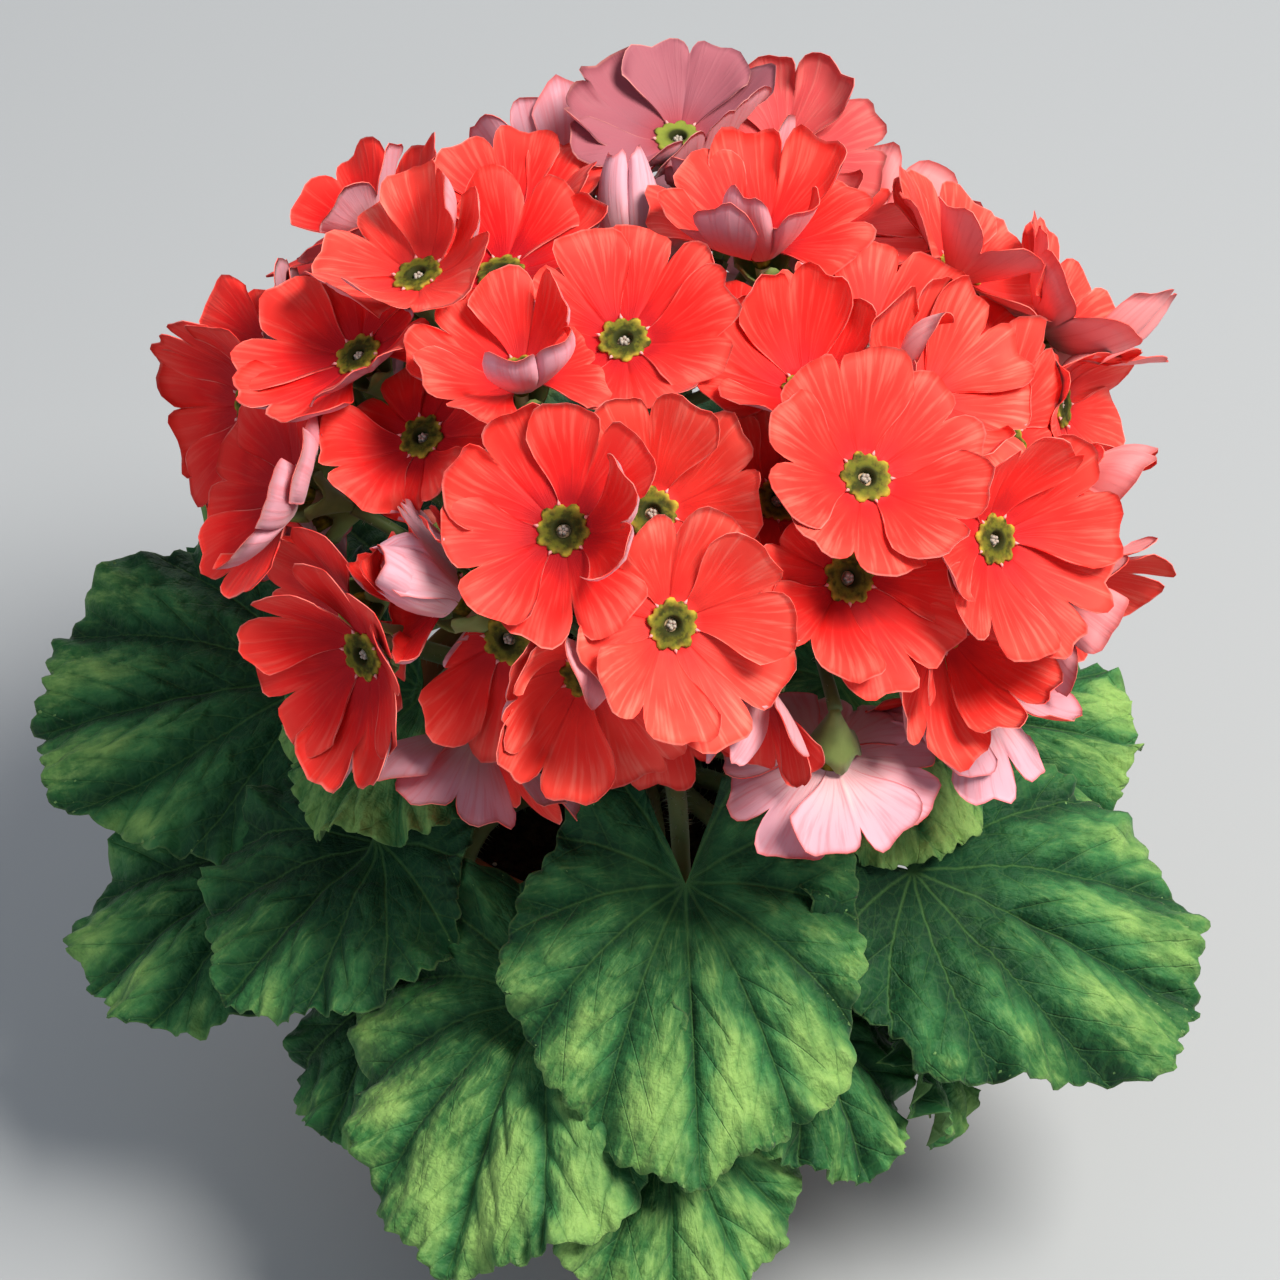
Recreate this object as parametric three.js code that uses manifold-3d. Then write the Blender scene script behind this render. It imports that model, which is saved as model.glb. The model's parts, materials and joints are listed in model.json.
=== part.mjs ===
// A potted German primrose (Primula obconica): a clay pot of soil, a short crown with a rosette of
// wavy heart-shaped leaves, and six flower stalks whose umbels make one dome of coral blooms.
// Millimetres, +Z up, origin at the middle of the pot's flat base. The showy front of the plant is -Y.
import * as THREE from "three";
import { mergeVertices } from "three/addons/utils/BufferGeometryUtils.js";
import Module from "manifold-3d";

const wasm = await Module();
wasm.setup();

// Driving dimensions
const GAP = 0.3; // clearance where separate pieces touch
const POT = {
  height: 100,
  rimRadius: 58,
  bandRadius: 54,
  baseRadius: 40,
  bandHeight: 20,
  wall: 4.5,
  floor: 6,
  chamfer: 1.5, // of the foot's and the rim's edges
  ledge: 0.8, // the slope under the band
  taper: 1, // how much narrower the band is at its foot
  lip: 2, // how far down the rim's inner edge runs in
};
const DRAIN = { count: 4, radius: 4, ring: 22, first: 45 };
const SOIL_TOP = 90;
const HEAP = { shoulder: 8, top: 10, rise: 1.5, dip: 1, clearance: 0.2 }; // the soil's surface
const CROWN = { radius: 13, foot: 80, top: 113, bevel: 3, bevelHeight: 6 };
const HEAD = { centre: [2, 0, 179], radii: [91, 82, 51] }; // the dome that the bloom eyes lie on
const BLOOM = { radius: 22, petals: 5, thickness: 1.3, eye: 0.2, throat: 3.5, tubeEnd: 8 };
const PETAL_TURN = 360 / BLOOM.petals;
const CALYX = { rimRadius: 5.2, rimDepth: 4, footRadius: 1.4, footDepth: 15 }; // depths behind the eye
const STALK = {
  footRadius: 2.7,
  topRadius: 2.2,
  pedicelRadius: 1.05,
  pedicelStart: 1.5, // from the middle of the knob
  knobRadius: 3.4,
  footRing: 7.2,
  sink: 4, // into the crown
  flare: 1.6, // of its knee, as a multiple of the foot's ring
  knee: 30, // above its foot
};
const LEAF_THICKNESS = 1.1;

// A leaf's stalk: its radius; how deep its root sinks; its knee, which lies that far out of the crown,
// that share of the way up to its crest and that much above; its crest, at that share of the leaf's reach
// but no further out than `far`, and for leaves that reach further at least at `low` and that far above
// the foot of the blade, and otherwise that far under it; where it meets the midrib, and how far it runs
// along it; and from where, and how fast, it tapers.
const PETIOLE = {
  radius: 2.1,
  sink: 4,
  knee: { out: 12, share: 0.35, lift: 2 },
  crest: { share: 0.8, far: 52, low: 107, above: 4, under: 5 },
  meets: -2,
  runs: 0.2,
  taper: { from: 0.75, rate: 2.4 },
};
const SIDES = { pot: 32, soil: 24, crown: 16, hole: 8, petiole: 4, scape: 5, pedicel: 4 };
const STEPS = { petiole: 5, scape: 5, pedicel: 2 };
const SCRAP = 10; // cubic millimetres: a loose chip below this is dropped
const TOUCH = 0.01; // cubic millimetres of overlap that count as clear
const SMALL = 0.1; // the sine of an angle that counts as none
const MERGE = 1e-3; // corners this close are one corner
const STEEP = Math.sqrt(1 - 0.9 ** 2); // the sine of the angle to the upright below which a tube is steep

// The photo's view: from in front and above, on a picture 1280 pixels wide.
const VIEW = { rise: 42, distance: 900, target: [-1, 0, 126], middle: 640, perMillimetre: 4.6 };

const DEG = Math.PI / 180;
const UP = new THREE.Vector3(0, 0, 1);
const vec = (x, y, z) => new THREE.Vector3(x, y, z);

// A repeatable random number from 0 to 1 for item i, stream s.
function chance(i, s) {
  const x = Math.sin(i * 12.9898 + s * 78.233) * 43758.5453;
  return x - Math.floor(x);
}

// The level direction at an azimuth: 0 is the front (-Y), 90 the right (+X).
function heading(azimuth) {
  return vec(Math.sin(azimuth * DEG), -Math.cos(azimuth * DEG), 0);
}

// Solids

function solidOf(geometry) {
  const bare = geometry.index ? geometry.toNonIndexed() : geometry.clone();
  bare.deleteAttribute("normal");
  bare.deleteAttribute("uv");
  const merged = mergeVertices(bare, MERGE);
  return new wasm.Manifold(
    new wasm.Mesh({
      numProp: 3,
      vertProperties: new Float32Array(merged.attributes.position.array),
      triVerts: new Uint32Array(merged.index.array),
    }),
  );
}

function solidOfFaces(points, faces) {
  const geometry = new THREE.BufferGeometry().setFromPoints(points);
  geometry.setIndex(faces.flat());
  return solidOf(geometry);
}

function geometryOf(solid) {
  const mesh = solid.getMesh();
  return new THREE.BufferGeometry()
    .setAttribute("position", new THREE.BufferAttribute(new Float32Array(mesh.vertProperties), 3))
    .setIndex(new THREE.BufferAttribute(new Uint32Array(mesh.triVerts), 1));
}

function fused(solids) {
  return solids.reduce((whole, solid) => whole.add(solid));
}

// A lathe profile of [radius, height] pairs turned round the Z axis.
function turned(profile, sides) {
  const geometry = new THREE.LatheGeometry(
    profile.map(([radius, height]) => new THREE.Vector2(radius, height)),
    sides,
  );
  return geometry.rotateX(Math.PI / 2);
}

// A tapering tube through the points of a curve, closed at both ends, with its far end flat or sunk to
// a point.
function tube(curve, steps, sides, radiusAt, sink = null) {
  const points = [];
  const faces = [];
  let side = null;
  for (let i = 0; i <= steps; i++) {
    const t = i / steps;
    const along = curve.getTangent(t);
    const seed = side ?? (along.clone().cross(UP).length() > STEEP ? UP : vec(1, 0, 0));
    side = seed.clone().addScaledVector(along, -seed.dot(along)).normalize();
    const across = along.clone().cross(side);
    const centre = curve.getPoint(t);
    for (let k = 0; k < sides; k++) {
      const turn = (k / sides) * 2 * Math.PI;
      points.push(
        centre
          .clone()
          .addScaledVector(side, radiusAt(t) * Math.cos(turn))
          .addScaledVector(across, radiusAt(t) * Math.sin(turn)),
      );
    }
  }
  for (let i = 0; i < steps; i++)
    for (let k = 0; k < sides; k++) {
      const a = i * sides + k;
      const b = i * sides + ((k + 1) % sides);
      faces.push([a, b, b + sides], [a, b + sides, a + sides]);
    }
  const last = steps * sides;
  for (let k = 1; k < sides - 1; k++) faces.push([0, k + 1, k]);
  if (sink) {
    const tip = points.push(sink) - 1;
    for (let k = 0; k < sides; k++) faces.push([last + k, last + ((k + 1) % sides), tip]);
  } else for (let k = 1; k < sides - 1; k++) faces.push([last, last + k, last + k + 1]);
  return solidOfFaces(points, faces);
}

// Pot and soil

function potSolid() {
  const { height, rimRadius, bandRadius, baseRadius, bandHeight, wall, floor } = POT;
  const { chamfer, ledge, taper, lip } = POT;
  const innerBase = baseRadius - wall + taper;
  const clay = solidOf(
    turned(
      [
        [0, 0],
        [baseRadius - chamfer, 0],
        [baseRadius, chamfer],
        [bandRadius, height - bandHeight],
        [rimRadius - taper, height - bandHeight + ledge],
        [rimRadius, height - chamfer],
        [rimRadius - chamfer, height],
        [rimRadius - wall, height],
        [rimRadius - wall - taper, height - lip],
        [innerBase, floor],
        [0, floor],
      ],
      SIDES.pot,
    ),
  );
  const holes = [];
  for (let i = 0; i < DRAIN.count; i++) {
    const place = heading(DRAIN.first + (i * 360) / DRAIN.count).multiplyScalar(DRAIN.ring);
    const hole = new THREE.CylinderGeometry(DRAIN.radius, DRAIN.radius, 3 * floor, SIDES.hole);
    holes.push(solidOf(hole.rotateX(Math.PI / 2).translate(place.x, place.y, 0)));
  }
  return holes.reduce((whole, hole) => whole.subtract(hole), clay);
}

// The inside radius of the pot's wall at a height.
function potInside(z) {
  const low = POT.baseRadius - POT.wall + POT.taper;
  const high = POT.rimRadius - POT.wall - POT.taper;
  return low + ((high - low) * (z - POT.floor)) / (POT.height - POT.lip - POT.floor);
}

function soilSolid() {
  const clear = CROWN.radius + GAP;
  const edge = (z) => potInside(z) - GAP - HEAP.clearance;
  const bottom = POT.floor + GAP;
  return solidOf(
    turned(
      [
        [0, bottom],
        [edge(bottom), bottom],
        [edge(SOIL_TOP - HEAP.dip), SOIL_TOP - HEAP.dip],
        [edge(SOIL_TOP) - HEAP.shoulder, SOIL_TOP],
        [clear + HEAP.top, SOIL_TOP - HEAP.dip],
        [clear, SOIL_TOP + HEAP.rise],
        [clear, CROWN.foot - GAP],
        [0, CROWN.foot - GAP],
      ],
      SIDES.soil,
    ),
  );
}

function crownProfile(margin) {
  const { radius, foot, top, bevel, bevelHeight } = CROWN;
  return [
    [0, foot - margin],
    [radius + margin, foot - margin],
    [radius + margin, top - bevelHeight],
    [radius - bevel + margin, top + margin],
    [0, top + margin],
  ];
}

// Leaves

const ROOTS = [94, 103, 111]; // heights on the crown where old, middle and young leaves start

// Each row is a leaf: azimuth, reach and height of the point where its stalk meets its blade; the yaw,
// pitch (down from level) and roll (to the right of its tip) of the blade; the blade's length and
// width; and its age, from 0 for the oldest leaves to 2 for the youngest.
const LEAVES = [
  ["leaf_front", 7, 66, 127, 4, 38, 0, 84, 74, 2],
  ["leaf_front_left", -16, 76, 101, -26, 34, -4, 82, 74, 1],
  ["leaf_front_low", 3, 92, 80, 4, 33, 8, 56, 56, 0],
  ["leaf_front_right_low", 23, 77, 92, 36, 36, 6, 54, 46, 0],
  ["leaf_right_front", 45, 72, 113, 76, 20, -20, 96, 75, 1],
  ["leaf_right_small", 62, 45, 142, 34, 30, -4, 50, 46, 2],
  ["leaf_right_curled", 42, 84, 87, 32, 42, 46, 46, 30, 0],
  ["leaf_right", 84, 62, 112, 92, 8, -14, 62, 56, 0],
  ["leaf_right_back", 112, 50, 138, 112, 12, -4, 82, 68, 2],
  ["leaf_left", -84, 66, 125, -86, 8, 28, 88, 78, 1],
  ["leaf_left_front", -50, 70, 116, -52, 24, 8, 62, 58, 1],
  ["leaf_left_low", -68, 80, 97, -68, 22, 10, 74, 60, 0],
  ["leaf_left_narrow", -42, 77, 84, -42, 44, 2, 54, 40, 0],
  ["leaf_left_small", -62, 52, 141, -40, 27, 0, 51, 51, 2],
  ["leaf_left_back", -115, 56, 130, -112, 7, 4, 76, 56, 1],
  ["leaf_back_left", -149, 44, 125, -148, 15, 0, 88, 68, 0],
  ["leaf_back", 194, 37, 141, 188, 11, -2, 94, 76, 2],
  ["leaf_back_right", 145, 44, 122, 148, 20, 0, 90, 76, 0],
].map(([name, azimuth, reach, height, yaw, pitch, roll, length, width, age]) => {
  const root = ROOTS[age];
  const { far, low, above, under } = PETIOLE.crest;
  const crest = reach > far ? Math.max(low, height + above) : height - under;
  return { name, azimuth, reach, height, yaw, pitch, roll, length, width, root, crest };
});

// A blade's outline and form: points round its edge, out and in by turns, and how far out a ring of half
// as many lies; the middle of its outline as a share of the length; how much narrower it is toward its
// tip; how deep the heart's notch, the lobes and the teeth are, and how many lobes; how many waves run
// round it, how high they are and how much the edge ruffles; and how much it droops to the tip, curls
// down at the sides and rises from the rib.
const BLADE = {
  rim: 24,
  ring: 0.55,
  narrow: 0.1,
  middle: 0.3,
  notch: 0.42,
  lobes: 0.04,
  lobeCount: 5,
  teeth: 0.025,
  waves: 4,
  wave: 0.03,
  ruffle: 0.9,
  droop: 0.16,
  curl: 0.5,
  valley: 0.1,
};

// The blade's frame: along its midrib, to its side, and out of its upper face.
function bladeFrame(leaf) {
  const level = heading(leaf.yaw);
  const c = Math.cos(leaf.pitch * DEG);
  const s = Math.sin(leaf.pitch * DEG);
  const along = level.clone().multiplyScalar(c).addScaledVector(UP, -s);
  const face = level.clone().multiplyScalar(s).addScaledVector(UP, c);
  face.applyAxisAngle(along, -leaf.roll * DEG);
  const origin = heading(leaf.azimuth).multiplyScalar(leaf.reach).setZ(leaf.height);
  return { origin, along, side: along.clone().cross(face), face };
}

// A point of the blade, a along the midrib from the stalk and b to the side, on its arched, waved face.
function bladePoint(leaf, frame, index, a, b, edge) {
  const turn = Math.atan2(b, a - BLADE.middle * leaf.length);
  const start = 2 * Math.PI * chance(index, 1);
  const wave = BLADE.wave * leaf.length * edge * edge * Math.sin(BLADE.waves * turn + start);
  const ruffle = edge === 1 ? BLADE.ruffle * Math.cos(0.5 * BLADE.rim * turn) : 0;
  const arch = (BLADE.droop * a * a) / leaf.length + (BLADE.curl * b * b) / leaf.width;
  const lift = BLADE.valley * Math.abs(b) - arch + wave + ruffle + PETIOLE.radius - LEAF_THICKNESS;
  const place = frame.origin.clone().addScaledVector(frame.along, a).addScaledVector(frame.side, b);
  return place.addScaledVector(frame.face, lift);
}

function bladeSolid(leaf, index) {
  const frame = bladeFrame(leaf);
  const start = 2 * Math.PI * chance(index, 2);
  const upper = [];
  const put = (turn, share) => {
    const notch = Math.abs(turn - Math.PI) < DEG ? 1 - BLADE.notch : 1;
    const teeth = share === 1 ? BLADE.teeth * Math.cos(0.5 * BLADE.rim * turn) : 0;
    const swell = 1 + BLADE.lobes * Math.sin(BLADE.lobeCount * turn + start) + teeth;
    const a = leaf.length * (BLADE.middle + 0.5 * Math.cos(turn) * notch * swell * share);
    const b = 0.5 * leaf.width * Math.sin(turn) * (1 - BLADE.narrow * Math.cos(turn)) * swell * share;
    upper.push(bladePoint(leaf, frame, index, a, b, share));
  };
  put(0, 0);
  const inner = BLADE.rim / 2;
  for (let i = 0; i < inner; i++) put((i * 2 * Math.PI) / inner, BLADE.ring);
  for (let i = 0; i < BLADE.rim; i++) put((i * 2 * Math.PI) / BLADE.rim, 1);
  const faces = [];
  for (let i = 0; i < inner; i++) {
    const near = 1 + i;
    const nearNext = 1 + ((i + 1) % inner);
    const rim = 1 + inner + 2 * i;
    const rimNext = 1 + inner + ((2 * i + 2) % BLADE.rim);
    faces.push([0, near, nearNext], [near, rim, rim + 1]);
    faces.push([near, rim + 1, nearNext], [nearNext, rim + 1, rimNext]);
  }
  const lower = upper.map((p) => p.clone().addScaledVector(frame.face, -LEAF_THICKNESS));
  return slab([...upper, ...lower], faces, 1 + inner);
}

// A thin blade: points in front and then as many behind, the faces in front, the same behind, and a
// wall round the rim, whose points run from rimStart to the end of those in front.
function slab(all, faces, rimStart) {
  const n = all.length / 2;
  const rim = n - rimStart;
  const shell = [...faces, ...faces.map(([a, b, c]) => [a + n, c + n, b + n])];
  for (let i = 0; i < rim; i++) {
    const a = rimStart + i;
    const b = rimStart + ((i + 1) % rim);
    shell.push([a, a + n, b + n], [a, b + n, b]);
  }
  const solid = solidOfFaces(all, shell);
  return solid.volume() > 0 ? solid : solidOfFaces(all, shell.map(([a, b, c]) => [a, c, b]));
}

function leafSolid(leaf, index) {
  const { radius, sink, knee, crest, meets, runs, taper } = PETIOLE;
  const frame = bladeFrame(leaf);
  const out = heading(leaf.azimuth);
  const kneeHeight = leaf.root + knee.share * (leaf.crest - leaf.root) + knee.lift;
  const rib = (a) => bladePoint(leaf, frame, index, a, 0, 0).addScaledVector(frame.face, -LEAF_THICKNESS);
  const stalk = new THREE.CatmullRomCurve3([
    out.clone().multiplyScalar(CROWN.radius - sink).setZ(leaf.root),
    out.clone().multiplyScalar(CROWN.radius + knee.out).setZ(kneeHeight),
    out.clone().multiplyScalar(Math.min(crest.far, crest.share * leaf.reach)).setZ(leaf.crest),
    rib(meets),
    rib(runs * leaf.length),
  ]);
  const radiusAt = (t) => radius * Math.min(1, 1 - taper.rate * (t - taper.from));
  return fused([bladeSolid(leaf, index), tube(stalk, STEPS.petiole, SIDES.petiole, radiusAt)]);
}

// Umbels: where each stalk's top is, and where its foot stands on the crown.
const UMBELS = [
  { name: "front_left", top: [-28, -34, 168], foot: -35 },
  { name: "front_right", top: [32, -34, 168], foot: 35 },
  { name: "right", top: [54, 4, 167], foot: 88 },
  { name: "left", top: [-52, 8, 168], foot: -88 },
  { name: "back", top: [8, 38, 170], foot: 125 },
  { name: "centre", top: [2, 2, 188], foot: null },
];

// Blooms

// Each row is a bloom that shows in the photo: the pixel of its eye, its distance out as a share of the
// dome, the spin of its petals, its size, and how far its face leans up (+) or down (-).
const SEEN = [
  [678, 137, 1, 10, 1.02, 40],
  [782, 155, 0.98, 25, 1, 60],
  [300, 185, 0.98, 0, 1, 0],
  [640, 215, 0.93, 0, 1, -20],
  [418, 275, 1.08, 0, 1.04, 0],
  [500, 272, 0.96, 20, 1, 0],
  [760, 245, 0.97, 0, 1, 15],
  [960, 270, 0.97, 0, 1, 0],
  [235, 340, 0.95, 0, 1, 0],
  [358, 355, 1, 10, 1, 0],
  [624, 340, 1, 0, 1.04, -6],
  [868, 345, 0.94, 10, 1, 0],
  [1050, 330, 1, 0, 1, 0],
  [205, 400, 0.95, 0, 1, 0],
  [520, 375, 1.03, 15, 0.95, 8],
  [808, 390, 0.97, 0, 1, 12],
  [925, 395, 1, 0, 0.95, 0],
  [1100, 400, 0.95, 0, 1, 0],
  [422, 437, 0.9, 30, 0.95, 0],
  [866, 478, 1.12, 12, 1.04, 0],
  [1008, 440, 0.93, 20, 1, 0],
  [290, 490, 0.95, 0, 1, 0],
  [563, 530, 1.11, 0, 1.04, 0],
  [652, 513, 0.94, 20, 1.02, 0],
  [778, 500, 0.9, 0, 0.9, 0],
  [1105, 500, 0.95, 0, 1, 0],
  [440, 545, 0.9, 0, 1, 0],
  [490, 565, 0.95, 20, 1, -55],
  [849, 578, 0.98, 0, 1.04, 4],
  [995, 540, 1.04, 0, 1.02, 0],
  [1060, 590, 1, 10, 1, 0],
  [363, 655, 1.06, 12, 1.04, 0],
  [508, 640, 0.93, 0, 1, 0],
  [672, 625, 1.07, 8, 1.02, 0],
  [950, 630, 0.95, 0, 1, 0],
  [587, 675, 1, 30, 1.02, -6],
  [755, 690, 0.95, 0, 1, 0],
  [965, 700, 1.02, 15, 1, -35],
  [475, 745, 0.98, 0, 1, 0],
  [832, 762, 1.02, 0, 0.95, -42],
];

// The blooms that fill the rest of the dome: how many places a spiral from the top down tries, the angle
// from one to the next, how low it goes, how far apart the eyes stay, how far a bloom's stalk stays from
// the middle of another, and how far out they stand, as a share of the dome.
const FILL = {
  tries: 600,
  turn: 137.508,
  lowest: -0.45,
  apart: 23,
  clear: 17,
  out: 0.8,
  spread: 0.14,
  size: 0.97,
};

// The planes between neighbours: how near a neighbour counts, the clearance to the plane, how far those
// of one bunch pass it, the least share of the room for the lower bloom, and how much a prouder bloom
// gains and lies over it.
const WALL = { near: 60, gap: 0.45, pass: 9, least: 0.34, lead: 1.2, slant: 0.8, sharp: 0.04 };
const BUNCH = { most: 5, reach: 44 };

// How a petal's tip rises or sinks to clear a wall, and the last resorts; the steps in which it is drawn
// in, as a share of its length; how near the eye it may end, as a multiple of the eye's radius; and how
// much of the room to the point where a face would fold over it may take.
const BENDS = [
  [0.6, -0.3],
  [1, -0.6, 0],
];
const DRAW = { step: 0.04, least: 1.15, spare: 0.85 };
const CUP = { least: 0.3, spread: 0.14, curve: 1.5 }; // a petal's rise, as a share of the bloom's radius
const TIE = 0.03; // parts the claims of blooms that stand equally far out
const UMBEL_DEPTH = 3; // behind a calyx, where the nearest umbel is sought

// A petal's edge: degrees from its middle line, and how far out as a share of the bloom's radius. The
// largest blooms have the finer one.
const PETAL = [
  [-36, 0.78],
  [-29, 0.94],
  [-13, 1.0],
  [0, 0.86],
  [13, 1.0],
  [29, 0.94],
];
const PLAIN_PETAL = [
  [-36, 0.8],
  [-20, 1.0],
  [0, 0.86],
  [20, 1.0],
];

// The azimuth and rise of the place on the dome that is seen at a pixel of the photo, or that comes
// nearest to it.
function placeSeen(x, y, out) {
  const back = vec(0, -Math.cos(VIEW.rise * DEG), Math.sin(VIEW.rise * DEG));
  const upward = back.clone().cross(vec(1, 0, 0));
  const radii = vec(...HEAD.radii).multiplyScalar(out);
  const camera = vec(...VIEW.target).addScaledVector(back, VIEW.distance);
  const eye = camera.sub(vec(...HEAD.centre)).divide(radii);
  const sight = back.multiplyScalar(-VIEW.distance);
  sight.x += (x - VIEW.middle) / VIEW.perMillimetre;
  sight.addScaledVector(upward, (VIEW.middle - y) / VIEW.perMillimetre).divide(radii);
  const a = sight.dot(sight);
  const b = eye.dot(sight);
  const root = Math.sqrt(Math.max(0, b * b - a * (eye.dot(eye) - 1)));
  const place = eye.addScaledVector(sight, (-b - root) / a).normalize();
  return [Math.atan2(place.x, -place.y) / DEG, Math.asin(place.z) / DEG];
}

function bloomAt(azimuth, rise, out, spin, size, lean, claim) {
  const [rx, ry, rz] = HEAD.radii;
  const level = heading(azimuth);
  const c = Math.cos(rise * DEG);
  const s = Math.sin(rise * DEG);
  const place = vec(level.x * c * rx, level.y * c * ry, s * rz);
  const middle = vec(...HEAD.centre).add(place.multiplyScalar(out));
  const facing = vec((level.x * c) / rx, (level.y * c) / ry, s / rz).normalize();
  const outward = facing.clone();
  const sideways = level.clone().cross(UP).normalize();
  facing.applyAxisAngle(sideways, lean * DEG);
  const u = UP.clone().cross(facing);
  if (u.length() < SMALL) u.set(1, 0, 0);
  u.normalize();
  const v = facing.clone().cross(u);
  return { middle, outward, facing, u, v, radius: BLOOM.radius * size, size, spin, claim };
}

// The umbel nearest to a bloom's foot.
function umbelOf(bloom) {
  const foot = bloom.middle.clone().addScaledVector(bloom.facing, -CALYX.footDepth - UMBEL_DEPTH);
  const distances = UMBELS.map((umbel) => vec(...umbel.top).distanceTo(foot));
  return UMBELS[distances.indexOf(Math.min(...distances))];
}

// Whether the straight stalk of `outer` would run through the corolla of `inner`.
function runsThrough(outer, inner) {
  const foot = outer.middle.clone().addScaledVector(outer.facing, -CALYX.footDepth);
  const run = foot.clone().sub(vec(...umbelOf(outer).top));
  const t = foot.clone().sub(inner.middle).dot(inner.facing) / run.dot(inner.facing);
  return t > 0 && t < 1 && foot.addScaledVector(run, -t).distanceTo(inner.middle) < FILL.clear;
}

// The blooms seen in the photo, then more wherever a spiral over the dome finds room for one.
function allBlooms() {
  const blooms = SEEN.map(([x, y, out, ...rest]) => bloomAt(...placeSeen(x, y, out), out, ...rest, out));
  for (let i = 0; i < FILL.tries; i++) {
    const height = 1 - ((1 - FILL.lowest) * (i + 0.5)) / FILL.tries;
    const rise = Math.asin(height) / DEG;
    const out = FILL.out + FILL.spread * chance(i, 3);
    const spin = PETAL_TURN * chance(i, 4);
    const next = bloomAt((i * FILL.turn) % 360, rise, out, spin, FILL.size, 0, out);
    const apart = (b) => b.middle.distanceTo(next.middle) > FILL.apart;
    const clear = (b) => !runsThrough(b, next) && !runsThrough(next, b);
    if (blooms.every(apart) && blooms.every(clear)) blooms.push(next);
  }
  blooms.forEach((b, i) => {
    b.claim += TIE * (chance(i, 6) - 0.5);
    b.cup = CUP.least + CUP.spread * chance(i, 5);
  });
  return blooms;
}

// The planes that part a bloom from its neighbours. The prouder of two has more of the room between
// them, and the plane slants so that its petals lie over the other's. Blooms of one bunch pass it a
// little, and so grow into each other.
function wallsOf(bloom, blooms, bunch) {
  return blooms
    .filter((other) => other !== bloom && other.middle.distanceTo(bloom.middle) < WALL.near)
    .map((other) => {
      const away = other.middle.clone().sub(bloom.middle);
      const gap = away.length();
      away.divideScalar(gap);
      const ahead = bloom.claim - other.claim;
      const share = Math.min(1 - WALL.least, Math.max(WALL.least, 0.5 + WALL.lead * ahead));
      const outward = bloom.outward.clone().add(other.outward);
      outward.addScaledVector(away, -outward.dot(away)).normalize();
      const slant = WALL.slant * Math.tanh(ahead / WALL.sharp);
      const normal = away.clone().addScaledVector(outward, -slant).normalize();
      const past = bunch.includes(other) ? WALL.pass : -WALL.gap;
      return { normal, reach: share * gap * away.dot(normal) + past };
    });
}

function clearOf(walls, offset) {
  return walls.every(({ normal, reach }) => normal.dot(offset) < reach);
}

// How far out the next point of a petal's edge may lie, at the angle `next` from the ray of the eye's
// corner, for the face between that corner, the last point and the next one not to fold over.
function furthest(eye, rho, last, next) {
  const room = eye * Math.sin(next * DEG) - rho * Math.sin((next - last) * DEG);
  return room > 0 ? (DRAW.spare * eye * Math.sin(last * DEG) * rho) / room : Infinity;
}

// One corolla: five notched petals in one piece with the eye and the tube. Where a neighbour is close,
// a petal is bent up or down until it is clear of the wall between them.
function corollaSolid(bloom, walls) {
  const { facing, u, v, radius, middle, cup, spin } = bloom;
  const back = facing.clone().multiplyScalar(-BLOOM.thickness);
  const offsetAt = (turn, rho, h) => {
    const offset = facing.clone().multiplyScalar(h);
    const angle = (turn + spin) * DEG;
    return offset.addScaledVector(u, rho * Math.cos(angle)).addScaledVector(v, rho * Math.sin(angle));
  };
  const eye = BLOOM.eye * radius;
  const bent = (turn, share, most = Infinity) => {
    const full = share * radius;
    const level = cup * radius * Math.pow(share, CUP.curve);
    const least = DRAW.least * eye;
    for (const bends of BENDS)
      for (let rho = Math.min(full, most); rho > least; rho -= DRAW.step * full)
        for (const rise of bends) {
          const offset = offsetAt(turn, rho, level + rise * Math.sqrt(full * full - rho * rho));
          if (clearOf(walls, offset) && clearOf(walls, offset.clone().add(back))) return { offset, rho };
        }
    return { offset: offsetAt(turn, least, level), rho: least };
  };
  const { petals } = BLOOM;
  const outline = bloom.size > 1 ? PETAL : PLAIN_PETAL;
  const steps = outline.length;
  const half = steps / 2;
  const rim = new Array(petals * steps);
  const at = (k, j) => (steps * k + j) % rim.length;
  for (let k = 0; k < petals; k++) rim[at(k, 0)] = bent(PETAL_TURN * k + outline[0][0], outline[0][1]);
  for (let k = 0; k < petals; k++) {
    const turn = PETAL_TURN * k;
    const fit = (j, most) => (rim[at(k, j)] = bent(turn + outline[j][0], outline[j][1], most));
    const caps = [0, steps].map((start) => {
      const step = start ? -1 : 1;
      const turnOf = (j) => PETAL_TURN / 2 + step * (outline[j % steps][0] + (j === steps ? PETAL_TURN : 0));
      for (let j = start + step; ; j += step) {
        const most = furthest(eye, rim[at(k, j - step)].rho, turnOf(j - step), turnOf(j));
        if (j === half) return most;
        fit(j, most);
      }
    });
    fit(half, Math.min(...caps));
  }
  const points = [offsetAt(0, 0, -BLOOM.throat)];
  for (let k = 0; k < petals; k++) points.push(offsetAt(PETAL_TURN * (k - 0.5), eye, 0));
  points.push(...rim.map((p) => p.offset));
  const faces = [];
  for (let k = 0; k < petals; k++) {
    const inner = 1 + k;
    const innerNext = 1 + ((k + 1) % petals);
    const edge = (j) => 1 + petals + at(k, j);
    faces.push([0, inner, innerNext], [inner, edge(half), innerNext]);
    for (let j = 0; j < steps; j++) faces.push([j < half ? inner : innerNext, edge(j), edge(j + 1)]);
  }
  const behind = points.map((p) => p.clone().add(back));
  behind[0] = offsetAt(0, 0, -BLOOM.tubeEnd); // under the throat, the back runs down into the tube
  return slab([...points, ...behind].map((p) => p.add(middle)), faces, 1 + petals);
}

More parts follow.
